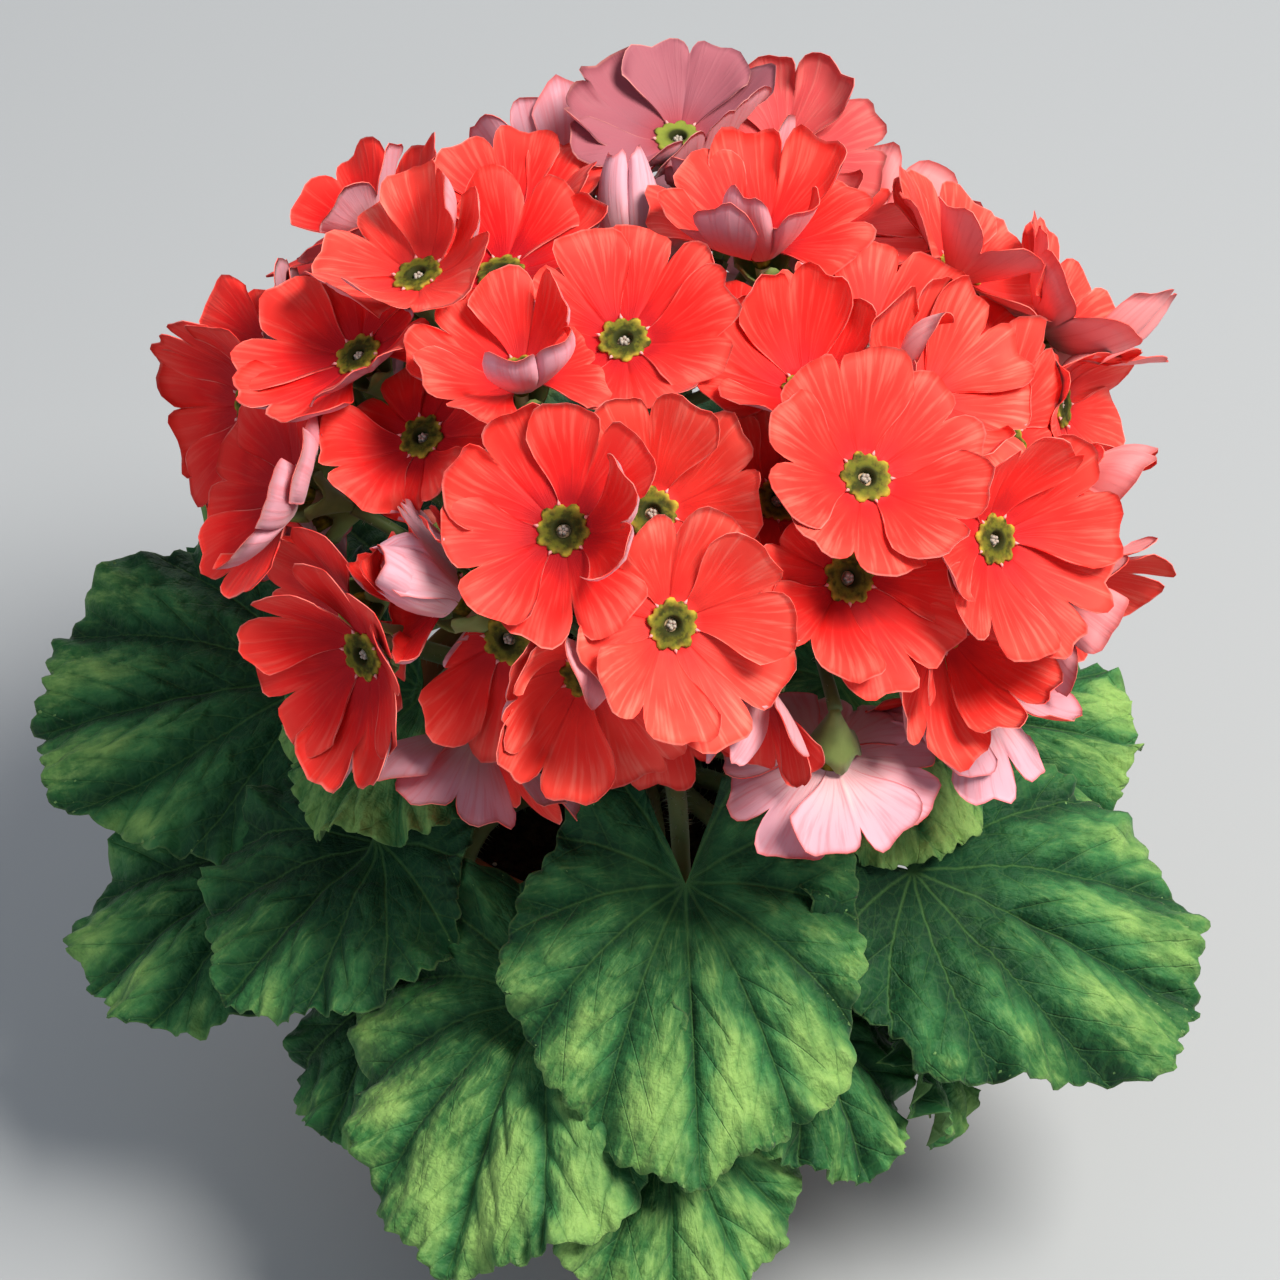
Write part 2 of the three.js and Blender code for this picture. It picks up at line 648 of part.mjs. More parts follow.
// The thin stalk from the umbel's top to a bloom, flaring into the funnel of the calyx round its tube.
function pedicelSolid(bloom, umbel) {
  const behind = (depth) => bloom.middle.clone().addScaledVector(bloom.facing, -depth);
  const foot = behind(CALYX.footDepth);
  const top = vec(...umbel.top);
  const run = foot.clone().sub(top).normalize();
  const stations = [top.addScaledVector(run, STALK.pedicelStart), foot, behind(CALYX.rimDepth)];
  const radii = [STALK.pedicelRadius, CALYX.footRadius, CALYX.rimRadius];
  const path = {
    getPoint: (t) => stations[2 * t].clone(),
    getTangent: (t) => (t > 0 ? bloom.facing.clone() : run),
  };
  const end = behind(BLOOM.tubeEnd + GAP);
  return tube(path, STEPS.pedicel, SIDES.pedicel, (t) => radii[2 * t], end);
}

function stalkSolid(umbel, blooms) {
  const top = vec(...umbel.top);
  const foot = umbel.foot === null ? vec(0, 0, 0) : heading(umbel.foot).multiplyScalar(STALK.footRing);
  foot.setZ(CROWN.top - STALK.sink);
  const knee = vec(foot.x * STALK.flare, foot.y * STALK.flare, foot.z + STALK.knee);
  const curve = new THREE.QuadraticBezierCurve3(foot, knee, top);
  const radiusAt = (t) => STALK.footRadius + (STALK.topRadius - STALK.footRadius) * t;
  const scape = tube(curve, STEPS.scape, SIDES.scape, radiusAt);
  const knob = solidOf(new THREE.IcosahedronGeometry(STALK.knobRadius, 0).translate(top.x, top.y, top.z));
  return fused([scape, knob, ...blooms.map((bloom) => pedicelSolid(bloom, umbel))]);
}

function isPiece(body) {
  return body.volume() > SCRAP;
}

// The corollas of a bunch as one solid.
function bunchSolid(bunch, blooms) {
  return fused(bunch.map((bloom) => corollaSolid(bloom, wallsOf(bloom, blooms, bunch))));
}

// Neighbours whose petals touch, clear of every stalk, in bunches of two and then of more.
function bunched(blooms, stalks) {
  const bunches = blooms.map((bloom) => [bloom]);
  const apart = (a, b) => Math.min(...a.flatMap((p) => b.map((q) => p.middle.distanceTo(q.middle))));
  const suits = (bunch) => {
    const solid = bunchSolid(bunch, blooms);
    const clear = stalks.every((stalk) => solid.intersect(stalk).volume() < TOUCH);
    return clear && solid.decompose().filter(isPiece).length === 1;
  };
  for (let most = 2; most <= BUNCH.most; most++) {
    const links = bunches.flatMap((a, i) => bunches.slice(i + 1).map((b) => [apart(a, b), a, b]));
    links.sort((p, q) => p[0] - q[0]);
    for (const [gap, a, b] of links) {
      if (gap > BUNCH.reach || a.length + b.length > most) continue;
      if (!bunches.includes(a) || !bunches.includes(b)) continue;
      const joined = [...a, ...b];
      if (!suits(joined)) continue;
      bunches.splice(bunches.indexOf(a), 1);
      bunches.splice(bunches.indexOf(b), 1, joined);
    }
  }
  return bunches;
}

// Assembly

const COLOURS = {
  clay: new THREE.MeshStandardMaterial({ color: 0xb5653f, roughness: 0.85, metalness: 0 }),
  soil: new THREE.MeshStandardMaterial({ color: 0x2b1d14, roughness: 1, metalness: 0 }),
  crown: new THREE.MeshStandardMaterial({ color: 0x7d8a4a, roughness: 0.8, metalness: 0 }),
  leaf: new THREE.MeshStandardMaterial({ color: 0x2f7a35, roughness: 0.6, metalness: 0 }),
  stalk: new THREE.MeshStandardMaterial({ color: 0x8fa85a, roughness: 0.6, metalness: 0 }),
  petal: new THREE.MeshStandardMaterial({ color: 0xe8392f, roughness: 0.55, metalness: 0 }),
};

const plant = new THREE.Group();

function add(name, solid, material) {
  const mesh = new THREE.Mesh(geometryOf(solid), material);
  mesh.name = name;
  plant.add(mesh);
}

add("pot", potSolid(), COLOURS.clay);
add("soil", soilSolid(), COLOURS.soil);
add("crown", solidOf(turned(crownProfile(0), SIDES.crown)), COLOURS.crown);

const crownRoom = solidOf(turned(crownProfile(GAP), SIDES.crown));
LEAVES.forEach((leaf, index) => add(leaf.name, leafSolid(leaf, index).subtract(crownRoom), COLOURS.leaf));

const blooms = allBlooms();
const stalks = UMBELS.map((umbel) => {
  const group = blooms.filter((bloom) => umbelOf(bloom) === umbel);
  return stalkSolid(umbel, group).subtract(crownRoom);
});
UMBELS.forEach((umbel, i) => add(`stalk_${umbel.name}`, stalks[i], COLOURS.stalk));

const counts = {};
for (const bunch of bunched(blooms, stalks)) {
  const { name } = umbelOf(bunch[0]);
  for (const body of bunchSolid(bunch, blooms).decompose().filter(isPiece)) {
    counts[name] = (counts[name] ?? 0) + 1;
    add(`blooms_${name}_${counts[name]}`, body, COLOURS.petal);
  }
}

export default plant;
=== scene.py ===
# The looks of a potted German primrose: fine leaves, blooms, stalks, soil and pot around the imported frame.
# Lengths are in millimetres until a mesh is made, which turns them into metres.
import json
import math

import bpy
import numpy as np
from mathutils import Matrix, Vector, noise
from mathutils.bvhtree import BVHTree

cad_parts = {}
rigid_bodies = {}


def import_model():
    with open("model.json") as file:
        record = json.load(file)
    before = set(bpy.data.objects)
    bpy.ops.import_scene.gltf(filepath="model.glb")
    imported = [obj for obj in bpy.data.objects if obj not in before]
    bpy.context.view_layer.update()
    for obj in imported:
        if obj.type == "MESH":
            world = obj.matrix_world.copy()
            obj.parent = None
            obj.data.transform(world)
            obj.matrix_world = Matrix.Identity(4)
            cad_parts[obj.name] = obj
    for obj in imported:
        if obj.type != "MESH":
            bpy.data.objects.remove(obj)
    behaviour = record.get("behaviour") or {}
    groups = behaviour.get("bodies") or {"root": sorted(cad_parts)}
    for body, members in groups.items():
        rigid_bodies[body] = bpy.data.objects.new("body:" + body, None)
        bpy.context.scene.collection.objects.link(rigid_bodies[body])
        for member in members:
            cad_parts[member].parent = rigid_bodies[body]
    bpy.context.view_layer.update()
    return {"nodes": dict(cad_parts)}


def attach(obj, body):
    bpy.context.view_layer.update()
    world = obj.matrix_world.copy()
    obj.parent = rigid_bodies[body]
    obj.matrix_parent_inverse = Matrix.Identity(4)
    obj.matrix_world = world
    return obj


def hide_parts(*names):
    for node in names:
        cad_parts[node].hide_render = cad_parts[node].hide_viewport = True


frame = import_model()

# Driving dimensions, as in the part
MM = 0.001
DEG = math.pi / 180
TURN = 2 * math.pi
POT = {"height": 100, "rim": 58, "band": 54, "base": 40, "band_height": 20, "wall": 4.5, "floor": 6}
DRAIN = {"count": 4, "radius": 4, "ring": 22, "sides": 24}
SOIL = {"top": 90, "foot": 78, "heap": 1.6, "heap_width": 14, "rings": 26, "sides": 120, "crumbs": 460}
CROWN = {"radius": 13, "top": 113}
HEAD_CENTRE = np.array([2.0, 0.0, 179.0])
HEAD_RADII = np.array([91.0, 82.0, 51.0])
PETALS = 5
BLOOM = {"radius": 22, "eye": 0.2, "tube_end": 8}
CALYX = {"rim_radius": 6.0, "rim_depth": 3.2, "foot_radius": 1.5, "foot_depth": 15, "lobes": 5, "wall": 0.45}
STALK = {"foot_radius": 2.7, "top_radius": 2.2, "pedicel_radius": 1.0, "foot_ring": 7.2, "sunk": 1.5}
PETIOLE_RADIUS = 2.1
LEAF_THICKNESS = 0.8
VIEW = {"rise": 42 * DEG, "distance": 900, "target": (-1, 0, 126), "middle": 640, "scale": 4.6}
SENSOR = 36

RIGHT = np.array([1.0, 0.0, 0.0])
UP = np.array([0.0, 0.0, 1.0])
# The ways towards the photo's camera and up in its picture.
FRONT = np.array([0, -math.cos(VIEW["rise"]), math.sin(VIEW["rise"])])
PICTURE_UP = np.array([0, math.sin(VIEW["rise"]), math.cos(VIEW["rise"])])


# A repeatable random number from 0 to 1 for item i, stream s.
def chance(i, s):
    x = math.sin(i * 12.9898 + s * 78.233) * 43758.5453
    return x - math.floor(x)


# The level direction at an azimuth: 0 is the front (-Y), 90 the right (+X).
def heading(azimuth):
    return np.array([math.sin(azimuth * DEG), -math.cos(azimuth * DEG), 0.0])


def unit(v):
    return v / np.linalg.norm(v)


def smooth(t):
    t = np.clip(t, 0, 1)
    return t * t * (3 - 2 * t)


# 0 up to the start, 1 from the start plus the length, straight between.
def ramp(x, start, length):
    return np.clip((x - start) / length, 0, 1)


# The turns of the corners of a ring.
def circle(sides):
    return [TURN * k / sides for k in range(sides)]


# The point at a radius and turn round the pot's axis.
def round_axis(radius, turn, height):
    return [radius * math.cos(turn), radius * math.sin(turn), height]


# The way at a turn from u to v, which stand square to each other.
def between(u, v, turn):
    return math.cos(turn) * u + math.sin(turn) * v


# Each item of a ring with the one after it.
def neighbours(ring):
    return list(zip(ring, ring[1:] + ring[:1]))


# Turns v about an axis.
def turned(v, axis, degrees):
    c = math.cos(degrees * DEG)
    s = math.sin(degrees * DEG)
    return v * c + np.cross(axis, v) * s + axis * np.dot(axis, v) * (1 - c)


# Smooth three-dimensional noise from -1 to 1 at each of the points.
def noise_at(points, size, seed=0.0):
    shift = Vector((seed * 7.31, seed * 3.17, seed * 5.53))
    return np.array([noise.noise(Vector(p) / size + shift) for p in points])


# Meshes


def link_object(name, data):
    thing = bpy.data.objects.new(name, data)
    bpy.context.scene.collection.objects.link(thing)
    return thing


# Faces of a grid of points, rows by columns; wrapped joins the last column to the first.
def grid_faces(rows, columns, wrapped=False, start=0, flip=False):
    faces = []
    width = columns if wrapped else columns - 1
    for r in range(rows - 1):
        for c in range(width):
            a = start + r * columns + c
            b = start + r * columns + (c + 1) % columns
            face = [a, b, b + columns, a + columns]
            faces.append(face[::-1] if flip else face)
    return faces


# Faces of a row of rings, with a cap at each end.
def ring_faces(rings, sides):
    first = list(range(sides))
    return grid_faces(rings, sides, wrapped=True) + [first[::-1], [(rings - 1) * sides + k for k in first]]


# Gathers points and faces of several materials for one piece. A place is where a point lies on its surface,
# from 0 to 1 both ways, and a tone holds three numbers that its material reads.
class Piece:
    def __init__(self):
        self.points = []
        self.faces = []
        self.slots = []
        self.places = []
        self.tones = []
        self.count = 0

    def add(self, points, faces, slot, places=None, tone=(0.5, 0.5, 0.0)):
        points = np.asarray(points, float).reshape(-1, 3)
        n = len(points)
        self.points.append(points)
        self.places.append(np.zeros((n, 2)) if places is None else np.asarray(places, float))
        self.tones.append(np.tile(np.array(tone, float), (n, 1)))
        self.faces += [[int(i) + self.count for i in face] for face in faces]
        self.slots += [slot] * len(faces) if isinstance(slot, int) else slot
        self.count += n

    # Adds a closed shape of rings of points.
    def add_rings(self, rings, slot):
        self.add(rings, ring_faces(len(rings), len(rings[0])), slot)

    # Makes the Blender object, riding on the plant's one body.
    def build(self, name, materials, nodes):
        mesh = bpy.data.meshes.new(name)
        points = np.vstack(self.points) * MM
        mesh.from_pydata(points.tolist(), [], self.faces)
        for material in materials:
            mesh.materials.append(MATERIALS[material])
        mesh.polygons.foreach_set("material_index", np.array(self.slots, np.int32))
        mesh.polygons.foreach_set("use_smooth", np.ones(len(self.faces), bool))
        corners = np.zeros(len(mesh.loops), np.int32)
        mesh.loops.foreach_get("vertex_index", corners)
        layer = mesh.uv_layers.new(name="place")
        layer.data.foreach_set("uv", np.vstack(self.places)[corners].astype(np.float32).ravel())
        tones = np.hstack([np.vstack(self.tones), np.ones((self.count, 1))])
        tone = mesh.attributes.new("tone", "FLOAT_COLOR", "POINT")
        tone.data.foreach_set("color", tones.astype(np.float32).ravel())
        mesh.update()
        piece = link_object(name, mesh)
        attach(piece, "root")
        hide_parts(*nodes)
        return piece


# A closed tube through the points of a path.
def add_tube(piece, path, radii, sides, slot):
    side = None
    rings = []
    for point, way, radius in zip(path, np.gradient(path, axis=0), radii):
        way = unit(way)
        if side is None:
            side = UP if abs(way[2]) < 0.9 else RIGHT
        side = unit(side - way * np.dot(side, way))
        across = np.cross(way, side)
        rings.append([point + radius * between(side, across, t) for t in circle(sides)])
    piece.add_rings(rings, slot)


# A closed shape of rings round an axis: each ring is (radius, distance along the axis).
def add_turned(piece, origin, axis, rings, sides, slot, shape=lambda radius, turn, j: radius):
    u = unit(np.cross(axis, UP if abs(axis[2]) < 0.95 else RIGHT))
    v = np.cross(axis, u)
    rows = []
    for j, (radius, reach) in enumerate(rings):
        outs = [shape(radius, t, j) * between(u, v, t) for t in circle(sides)]
        rows.append([origin + out + reach * axis for out in outs])
    piece.add_rings(rows, slot)


# A small bead, such as an anther.
def add_bead(piece, centre, axis, radius, length, slot):
    rings = [(radius * math.sin(a * DEG), -length * math.cos(a * DEG)) for a in (12, 50, 90, 130, 168)]
    add_turned(piece, centre, axis, rings, 7, slot)


# Materials


# A node's output, which plain sums and products turn into further nodes.
class Value:
    def __init__(self, nodes, socket):
        self.nodes = nodes
        self.socket = socket

    def __add__(self, other):
        return self.nodes.math("ADD", self, other)

    def __sub__(self, other):
        return self.nodes.math("SUBTRACT", self, other)

    def __mul__(self, other):
        return self.nodes.math("MULTIPLY", self, other)

    def __truediv__(self, other):
        return self.nodes.math("DIVIDE", self, other)

    def __abs__(self):
        return self.nodes.math("ABSOLUTE", self)


# A small helper round a material's node tree.
class Nodes:
    def __init__(self, name):
        self.material = bpy.data.materials.new(name)
        self.material.use_nodes = True
        self.tree = self.material.node_tree
        self.shader = self.tree.nodes["Principled BSDF"]

    # Gives a socket a node's output, a colour or a number.
    def put(self, socket, x):
        if isinstance(x, Value):
            self.tree.links.new(x.socket, socket)
        else:
            socket.default_value = (*x, 1) if socket.type == "RGBA" else x

    def make(self, kind, inputs, **settings):
        node = self.tree.nodes.new(kind)
        for name, x in settings.items():
            setattr(node, name, x)
        for name, x in inputs.items():
            self.put(node.inputs[name], x)
        return [Value(self, socket) for socket in node.outputs]

    def math(self, operation, *values):
        return self.make("ShaderNodeMath", dict(enumerate(values)), operation=operation)[0]

    # 0 below low, 1 above high, smooth between.
    def step(self, x, low, high):
        inputs = {"Value": x, "From Min": low, "From Max": high}
        return self.make("ShaderNodeMapRange", inputs, interpolation_type="SMOOTHSTEP")[0]

    # Lays coats of colour over a first one, each by its own factor.
    def paint(self, colour, *coats):
        for factor, coat in coats:
            colour = self.make("ShaderNodeMix", {0: factor, 6: colour, 7: coat}, data_type="RGBA")[2]
        return colour

    def noise(self, vector, scale, detail=4, roughness=0.5):
        inputs = {"Vector": vector, "Scale": scale, "Detail": detail, "Roughness": roughness}
        return self.make("ShaderNodeTexNoise", inputs)[0]

    # How far a point is from the nearest border between cells.
    def cells(self, vector, scale):
        inputs = {"Vector": vector, "Scale": scale}
        return self.make("ShaderNodeTexVoronoi", inputs, feature="DISTANCE_TO_EDGE")[0]

    def objects(self):
        return Value(self, self.tree.nodes.new("ShaderNodeTexCoord").outputs["Object"])

    def split(self, vector):
        return self.make("ShaderNodeSeparateXYZ", {0: vector})

    def joined(self, x, y, z=0.0):
        return self.make("ShaderNodeCombineXYZ", {0: x, 1: y, 2: z})[0]

    def place(self):
        return self.split(self.make("ShaderNodeUVMap", {}, uv_map="place")[0])[:2]

    def tone(self):
        colour = self.make("ShaderNodeAttribute", {}, attribute_name="tone")[0]
        return self.make("ShaderNodeSeparateColor", {0: colour})

    def bump(self, height, strength, distance):
        inputs = {"Strength": strength, "Distance": distance, "Height": height}
        self.put(self.shader.inputs["Normal"], self.make("ShaderNodeBump", inputs)[0])

    def finish(self, colour, roughness, gloss=0.5, sheen=0.0, sheen_roughness=0.5):
        self.put(self.shader.inputs["Base Color"], colour)
        self.put(self.shader.inputs["Roughness"], roughness)
        self.put(self.shader.inputs["Specular IOR Level"], gloss)
        self.put(self.shader.inputs["Sheen Weight"], sheen)
        self.put(self.shader.inputs["Sheen Roughness"], sheen_roughness)
        return self.material


# What both sides of a petal use. The veins run out finely along it, and middle is how far a point is from
# the line down its middle.
def petal_nodes(name):
    n = Nodes(name)
    across, along = n.place()
    pale_and_painted_light, mauve, seed = n.tone()
    veins = n.step(n.noise(n.joined((across + seed) * 26.0, along * 1.6), 1.0, 3), 0.45, 0.7)
    return n, across, along, pale_and_painted_light, mauve, seed, veins, abs(across - 0.5)


# The front of a petal: coral red, paler and finely veined to the tip, with a pale thin edge, and with
# painted shade in the crease down its middle and at its cupped base by the eye.
def petal_face():
    n, across, along, pale_and_painted_light, mauve, seed, veins, middle = petal_nodes("petal_face")
    cloud = n.noise(n.joined(across * 2.2, along * 1.7, seed), 1.6, 3)
    warm = along + cloud * 0.5 + (pale_and_painted_light - 0.15) * 0.7
    tip = n.step(along, 0.45, 1.1) * 0.42 + pale_and_painted_light * 0.6
    streak = n.step(along, 0.15, 0.9) * (pale_and_painted_light * 0.45 + 0.2)
    # Painted shade: the crease down the middle, near the eye, is darkened where the petal dips.
    crease = n.step(middle, 0.028, 0.0) * n.step(along, 0.9, 0.2)
    edge = n.math("MAXIMUM", n.step(along, 0.975, 1.0), n.step(middle, 0.488, 0.5))
    patchy = n.step(n.noise(n.objects(), 160, 2), 0.35, 0.65)
    colour = n.paint(
        (0.52, 0.004, 0.009),
        (n.step(warm, 0.25, 0.8), (0.90, 0.013, 0.012)),
        (tip * (cloud * 1.1 + 0.25), (0.98, 0.125, 0.085)),
        (veins * streak, (1.0, 0.27, 0.2)),
        (crease * 0.5, (0.45, 0.008, 0.012)),
        (mauve * 0.88, (0.30, 0.118, 0.155)),
        (edge * patchy * 0.5, (1.0, 0.42, 0.36)),
        # Painted shade: the cupped base of the petal by the eye is darkened.
        (n.step(along, 0.42, 0.0) * 0.5, (0.40, 0.006, 0.014)),
    )
    n.bump(veins, 0.2, 0.0004)
    return n.finish(colour, 0.6, 0.16, 0.03, 0.4)


# The back of a petal: pale pink, veined in a deeper pink, with a painted coral glow of light shining through
# it on the head's upper right.
def petal_back():
    n, across, along, pale_and_painted_light, mauve, seed, veins, middle = petal_nodes("petal_back")
    x, y, z = n.split(n.objects())
    # Painted light: backs on the head's upper right glow coral as if lit through; pale blooms' backs take
    # that coral as their own tone.
    painted_backlight = n.step(x, 0.0, 0.06) * n.step(z, 0.15, 0.185) * 0.65
    rib = n.step(middle, 0.03, 0.0) * n.step(along, 1.0, 0.3)
    edge = n.math("MAXIMUM", n.step(along, 0.965, 0.995), n.step(middle, 0.482, 0.497))
    colour = n.paint(
        (0.76, 0.47, 0.50),
        (n.step(along, 0.0, 0.8), (0.74, 0.37, 0.45)),
        (n.math("MAXIMUM", painted_backlight, n.step(pale_and_painted_light, 0.3, 0.7) * 0.5), (0.90, 0.26, 0.23)),
        (veins * 0.4, (0.72, 0.13, 0.15)),
        (rib * 0.5, (0.9, 0.62, 0.58)),
        (edge * 0.5, (0.9, 0.12, 0.1)),
    )
    n.bump(veins, 0.15, 0.0004)
    return n.finish(colour, 0.6, 0.3, 0.12)


# The eye: olive and yellow-green, browner between its lobes and dark towards the throat.
def eye_material():
    n = Nodes("eye")
    around, inward = n.place()
    mauve = n.tone()[1]
    blotch = n.step(n.noise(n.objects(), 520, 3, 0.6), 0.38, 0.62)
    tip = n.step(inward, 0.32, 0.0) * n.step(n.noise(n.objects(), 420, 2), 0.35, 0.6)
    cleft = abs(n.math("SINE", around * (PETALS * TURN)))
    rust = n.step(cleft, 0.55, 1.0) * n.step(inward, 0.5, 0.1)
    colour = n.paint(
        (0.035, 0.042, 0.006),
        (blotch, (0.13, 0.14, 0.014)),
        (tip * 0.9, (0.56, 0.44, 0.05)),
        (rust * 0.4, (0.16, 0.10, 0.02)),
        (mauve * 0.75, (0.25, 0.31, 0.045)),
        (n.step(inward, 0.34, 0.66), (0.03, 0.036, 0.008)),
    )
    n.bump(n.noise(n.objects(), 900, 3), 0.3, 0.0003)
    return n.finish(colour, 0.75, 0.12)


def plain_plant(name, low, high, scale, roughness=0.6, sheen=0.2):
    n = Nodes(name)
    n.bump(n.noise(n.objects(), 3 * scale, 2), 0.2, 0.0003)
    return n.finish(n.paint(low, (n.noise(n.objects(), scale), high)), roughness, sheen=sheen)


# A leaf's veins: how far the main ones are turned from each other and how much they curve forward, and how
# far apart their branches are, how much these slant and how they are shifted from one side to the other.
VEIN = {"turn": 31 * DEG, "curve": 0.0075, "step": 9.5, "slant": 1.3, "shift": 1.27}
BLADE_MAP = 200


# The leaf's upper or lower side, with veins that fan out from the stalk, branches and a crumpled net. On the
# upper side, painted light and shade set how light the green is.
def leaf_material(name, under):
    n = Nodes(name)
    a, b = [(x - 0.5) * BLADE_MAP for x in n.place()]
    painted_leaf_light, edge, seed = n.tone()
    reach = n.math("SQRT", a * a + b * b)
    turn = n.math("ARCTAN2", b, a)
    order = (turn + reach * VEIN["curve"] * n.math("SINE", turn)) / VEIN["turn"]
    beside = order - n.math("ROUND", order)
    away = abs(beside * VEIN["turn"]) * reach
    main_vein = n.step(away + reach * 0.004, 0.62, 0.05)
    count = (reach - away * VEIN["slant"]) / VEIN["step"] + n.math("SIGN", beside) * VEIN["shift"]
    near = abs(n.math("FRACT", count) - 0.5)
    branch = n.step(near, 0.455, 0.5) * n.step(reach, 8.0, 20.0)
    flat = n.joined(a, b, seed)
    net = n.cells(flat, 0.33)
    fine = n.cells(flat, 0.9)
    crumple = n.noise(n.joined(order * 5.0, reach * 0.16, seed), 1.0, 4, 0.6)
    streak = n.noise(n.joined(order * 15.0, reach * 0.24, seed), 1.0, 4, 0.62)
    cloud = n.noise(flat, 0.035, 3)
    if under:
        colour = n.paint((0.10, 0.22, 0.07), (cloud, (0.17, 0.31, 0.10)))
        vein_colour = (0.30, 0.42, 0.17)
    else:
        # Painted light and shade: the tone's first number, high where a leaf lies in light, on its ridges
        # and at its far end and low in shade, moves these greens from dark to bright.
        bright = n.paint(
            (0.005, 0.055, 0.017),
            (n.step(painted_leaf_light, 0.0, 0.6), (0.042, 0.19, 0.056)),
            (n.step(painted_leaf_light, 0.42, 1.0), (0.25, 0.43, 0.11)),
        )
        # Painted highlight: the crests of the fine wrinkle streaks turn yellow-green, most on leaves in
        # painted light.
        painted_ridge_highlight = n.step(streak, 0.46, 0.74) * n.step(painted_leaf_light, 0.15, 0.8)
        colour = n.paint(
            (0.003, 0.030, 0.010),
            (painted_leaf_light, (0.022, 0.14, 0.034)),
            (n.step(cloud * 0.8 + crumple * 0.35, 0.42, 0.72), bright),
            (painted_ridge_highlight * 0.5, (0.27, 0.44, 0.13)),
            # Painted shade: the troughs between the wrinkle streaks are darkened.
            (n.step(streak, 0.5, 0.28) * 0.4, (0.008, 0.07, 0.02)),
        )
        vein_colour = (0.10, 0.24, 0.06)
    colour = n.paint(
        colour,
        (n.step(net, 0.10, 0.0) * 0.1, vein_colour),
        (branch * 0.18, vein_colour),
        (main_vein * 0.35, vein_colour),
        (n.step(edge, 0.985, 0.999) * 0.25, (0.18, 0.30, 0.09)),
    )
    height = n.step(net, 0.0, 0.35) * 0.5 + n.step(fine, 0.0, 0.3) * 0.16 + crumple * 1.3 + streak * 1.2
    sunk = main_vein * 0.8 + branch * 0.5
    n.bump(height + sunk if under else height - sunk, 0.55, 0.0008)
    return n.finish(colour, 0.62, 0.18, 0.05)


# Terracotta: cloudy and pitted, with pale lime stains, a damp foot and fine rings from the wheel.
def clay_material():
    n = Nodes("clay")
    where = n.objects()
    cloud = n.noise(where, 16, 5, 0.6)
    grain = n.noise(where, 420, 4, 0.7)
    height = n.split(where)[2]
    colour = n.paint(
        (0.44, 0.15, 0.072),
        (cloud, (0.60, 0.255, 0.14)),
        (n.step(n.noise(where, 34, 6, 0.65), 0.55, 0.75) * 0.35, (0.72, 0.50, 0.38)),
        (n.step(grain, 0.62, 0.72) * 0.45, (0.25, 0.08, 0.04)),
        (n.step(height + cloud * 0.02, 0.03, 0.005) * 0.4, (0.30, 0.10, 0.05)),
    )
    rings = n.math("SINE", (height + cloud * 0.002) * 3400.0)
    n.bump(grain + rings * 0.05, 0.35, 0.0006)
    return n.finish(colour, 0.86, 0.25)


def soil_material():
    n = Nodes("soil")
    grain = n.noise(n.objects(), 300, 6, 0.7)
    n.bump(grain, 0.8, 0.0015)
    colour = n.paint((0.012, 0.007, 0.004), (n.step(grain, 0.35, 0.7), (0.075, 0.042, 0.024)))
    return n.finish(colour, 0.95, 0.2)


# Plain materials: the two colours that one drifts between, the scale of that, the roughness and the sheen.
PLAIN = {
    "anther": ((0.34, 0.29, 0.23), (0.52, 0.45, 0.39), 1500),
    "speck": ((0.80, 0.26, 0.26), (0.90, 0.48, 0.46), 900),
    "tube": ((0.62, 0.48, 0.22), (0.75, 0.42, 0.30), 300),
    # The stalk's green is darker than a stalk's own, as painted shade for the dark gaps among the blooms.
    "stalk": ((0.055, 0.11, 0.022), (0.14, 0.22, 0.055), 120, 0.6, 0.15),
    "calyx": ((0.11, 0.18, 0.035), (0.28, 0.37, 0.09), 220, 0.6, 0.15),
    "bud": ((0.62, 0.06, 0.05), (0.85, 0.2, 0.14), 400),
    "petiole": ((0.12, 0.20, 0.05), (0.24, 0.27, 0.10), 150),
    "hair": ((0.30, 0.36, 0.20), (0.45, 0.50, 0.33), 400),
    "crown": ((0.10, 0.11, 0.035), (0.28, 0.27, 0.11), 160, 0.8),
    "perlite": ((0.60, 0.58, 0.52), (0.82, 0.80, 0.74), 700, 0.9),
}
MATERIALS = {name: plain_plant(name, *values) for name, values in PLAIN.items()}
MATERIALS["face"] = petal_face()
MATERIALS["back"] = petal_back()
MATERIALS["eye"] = eye_material()
MATERIALS["leaf_top"] = leaf_material("leaf_top", False)
MATERIALS["leaf_under"] = leaf_material("leaf_under", True)
MATERIALS["clay"] = clay_material()
MATERIALS["soil"] = soil_material()

# The materials of the pieces that have several, and the number of each in its piece. A hair's is 3 in both.
COROLLA_MATERIALS = ("face", "back", "eye", "anther", "speck", "tube")
FACE, BACK, EYE, ANTHER, SPECK, TUBE = range(6)
STALK_MATERIALS = ("stalk", "calyx", "bud", "hair")
STEM, SEPAL, BUD, HAIR = range(4)
LEAF_MATERIALS = ("leaf_top", "leaf_under", "petiole", "hair")
UPPER, LOWER, PETIOLE = range(3)


# Blooms

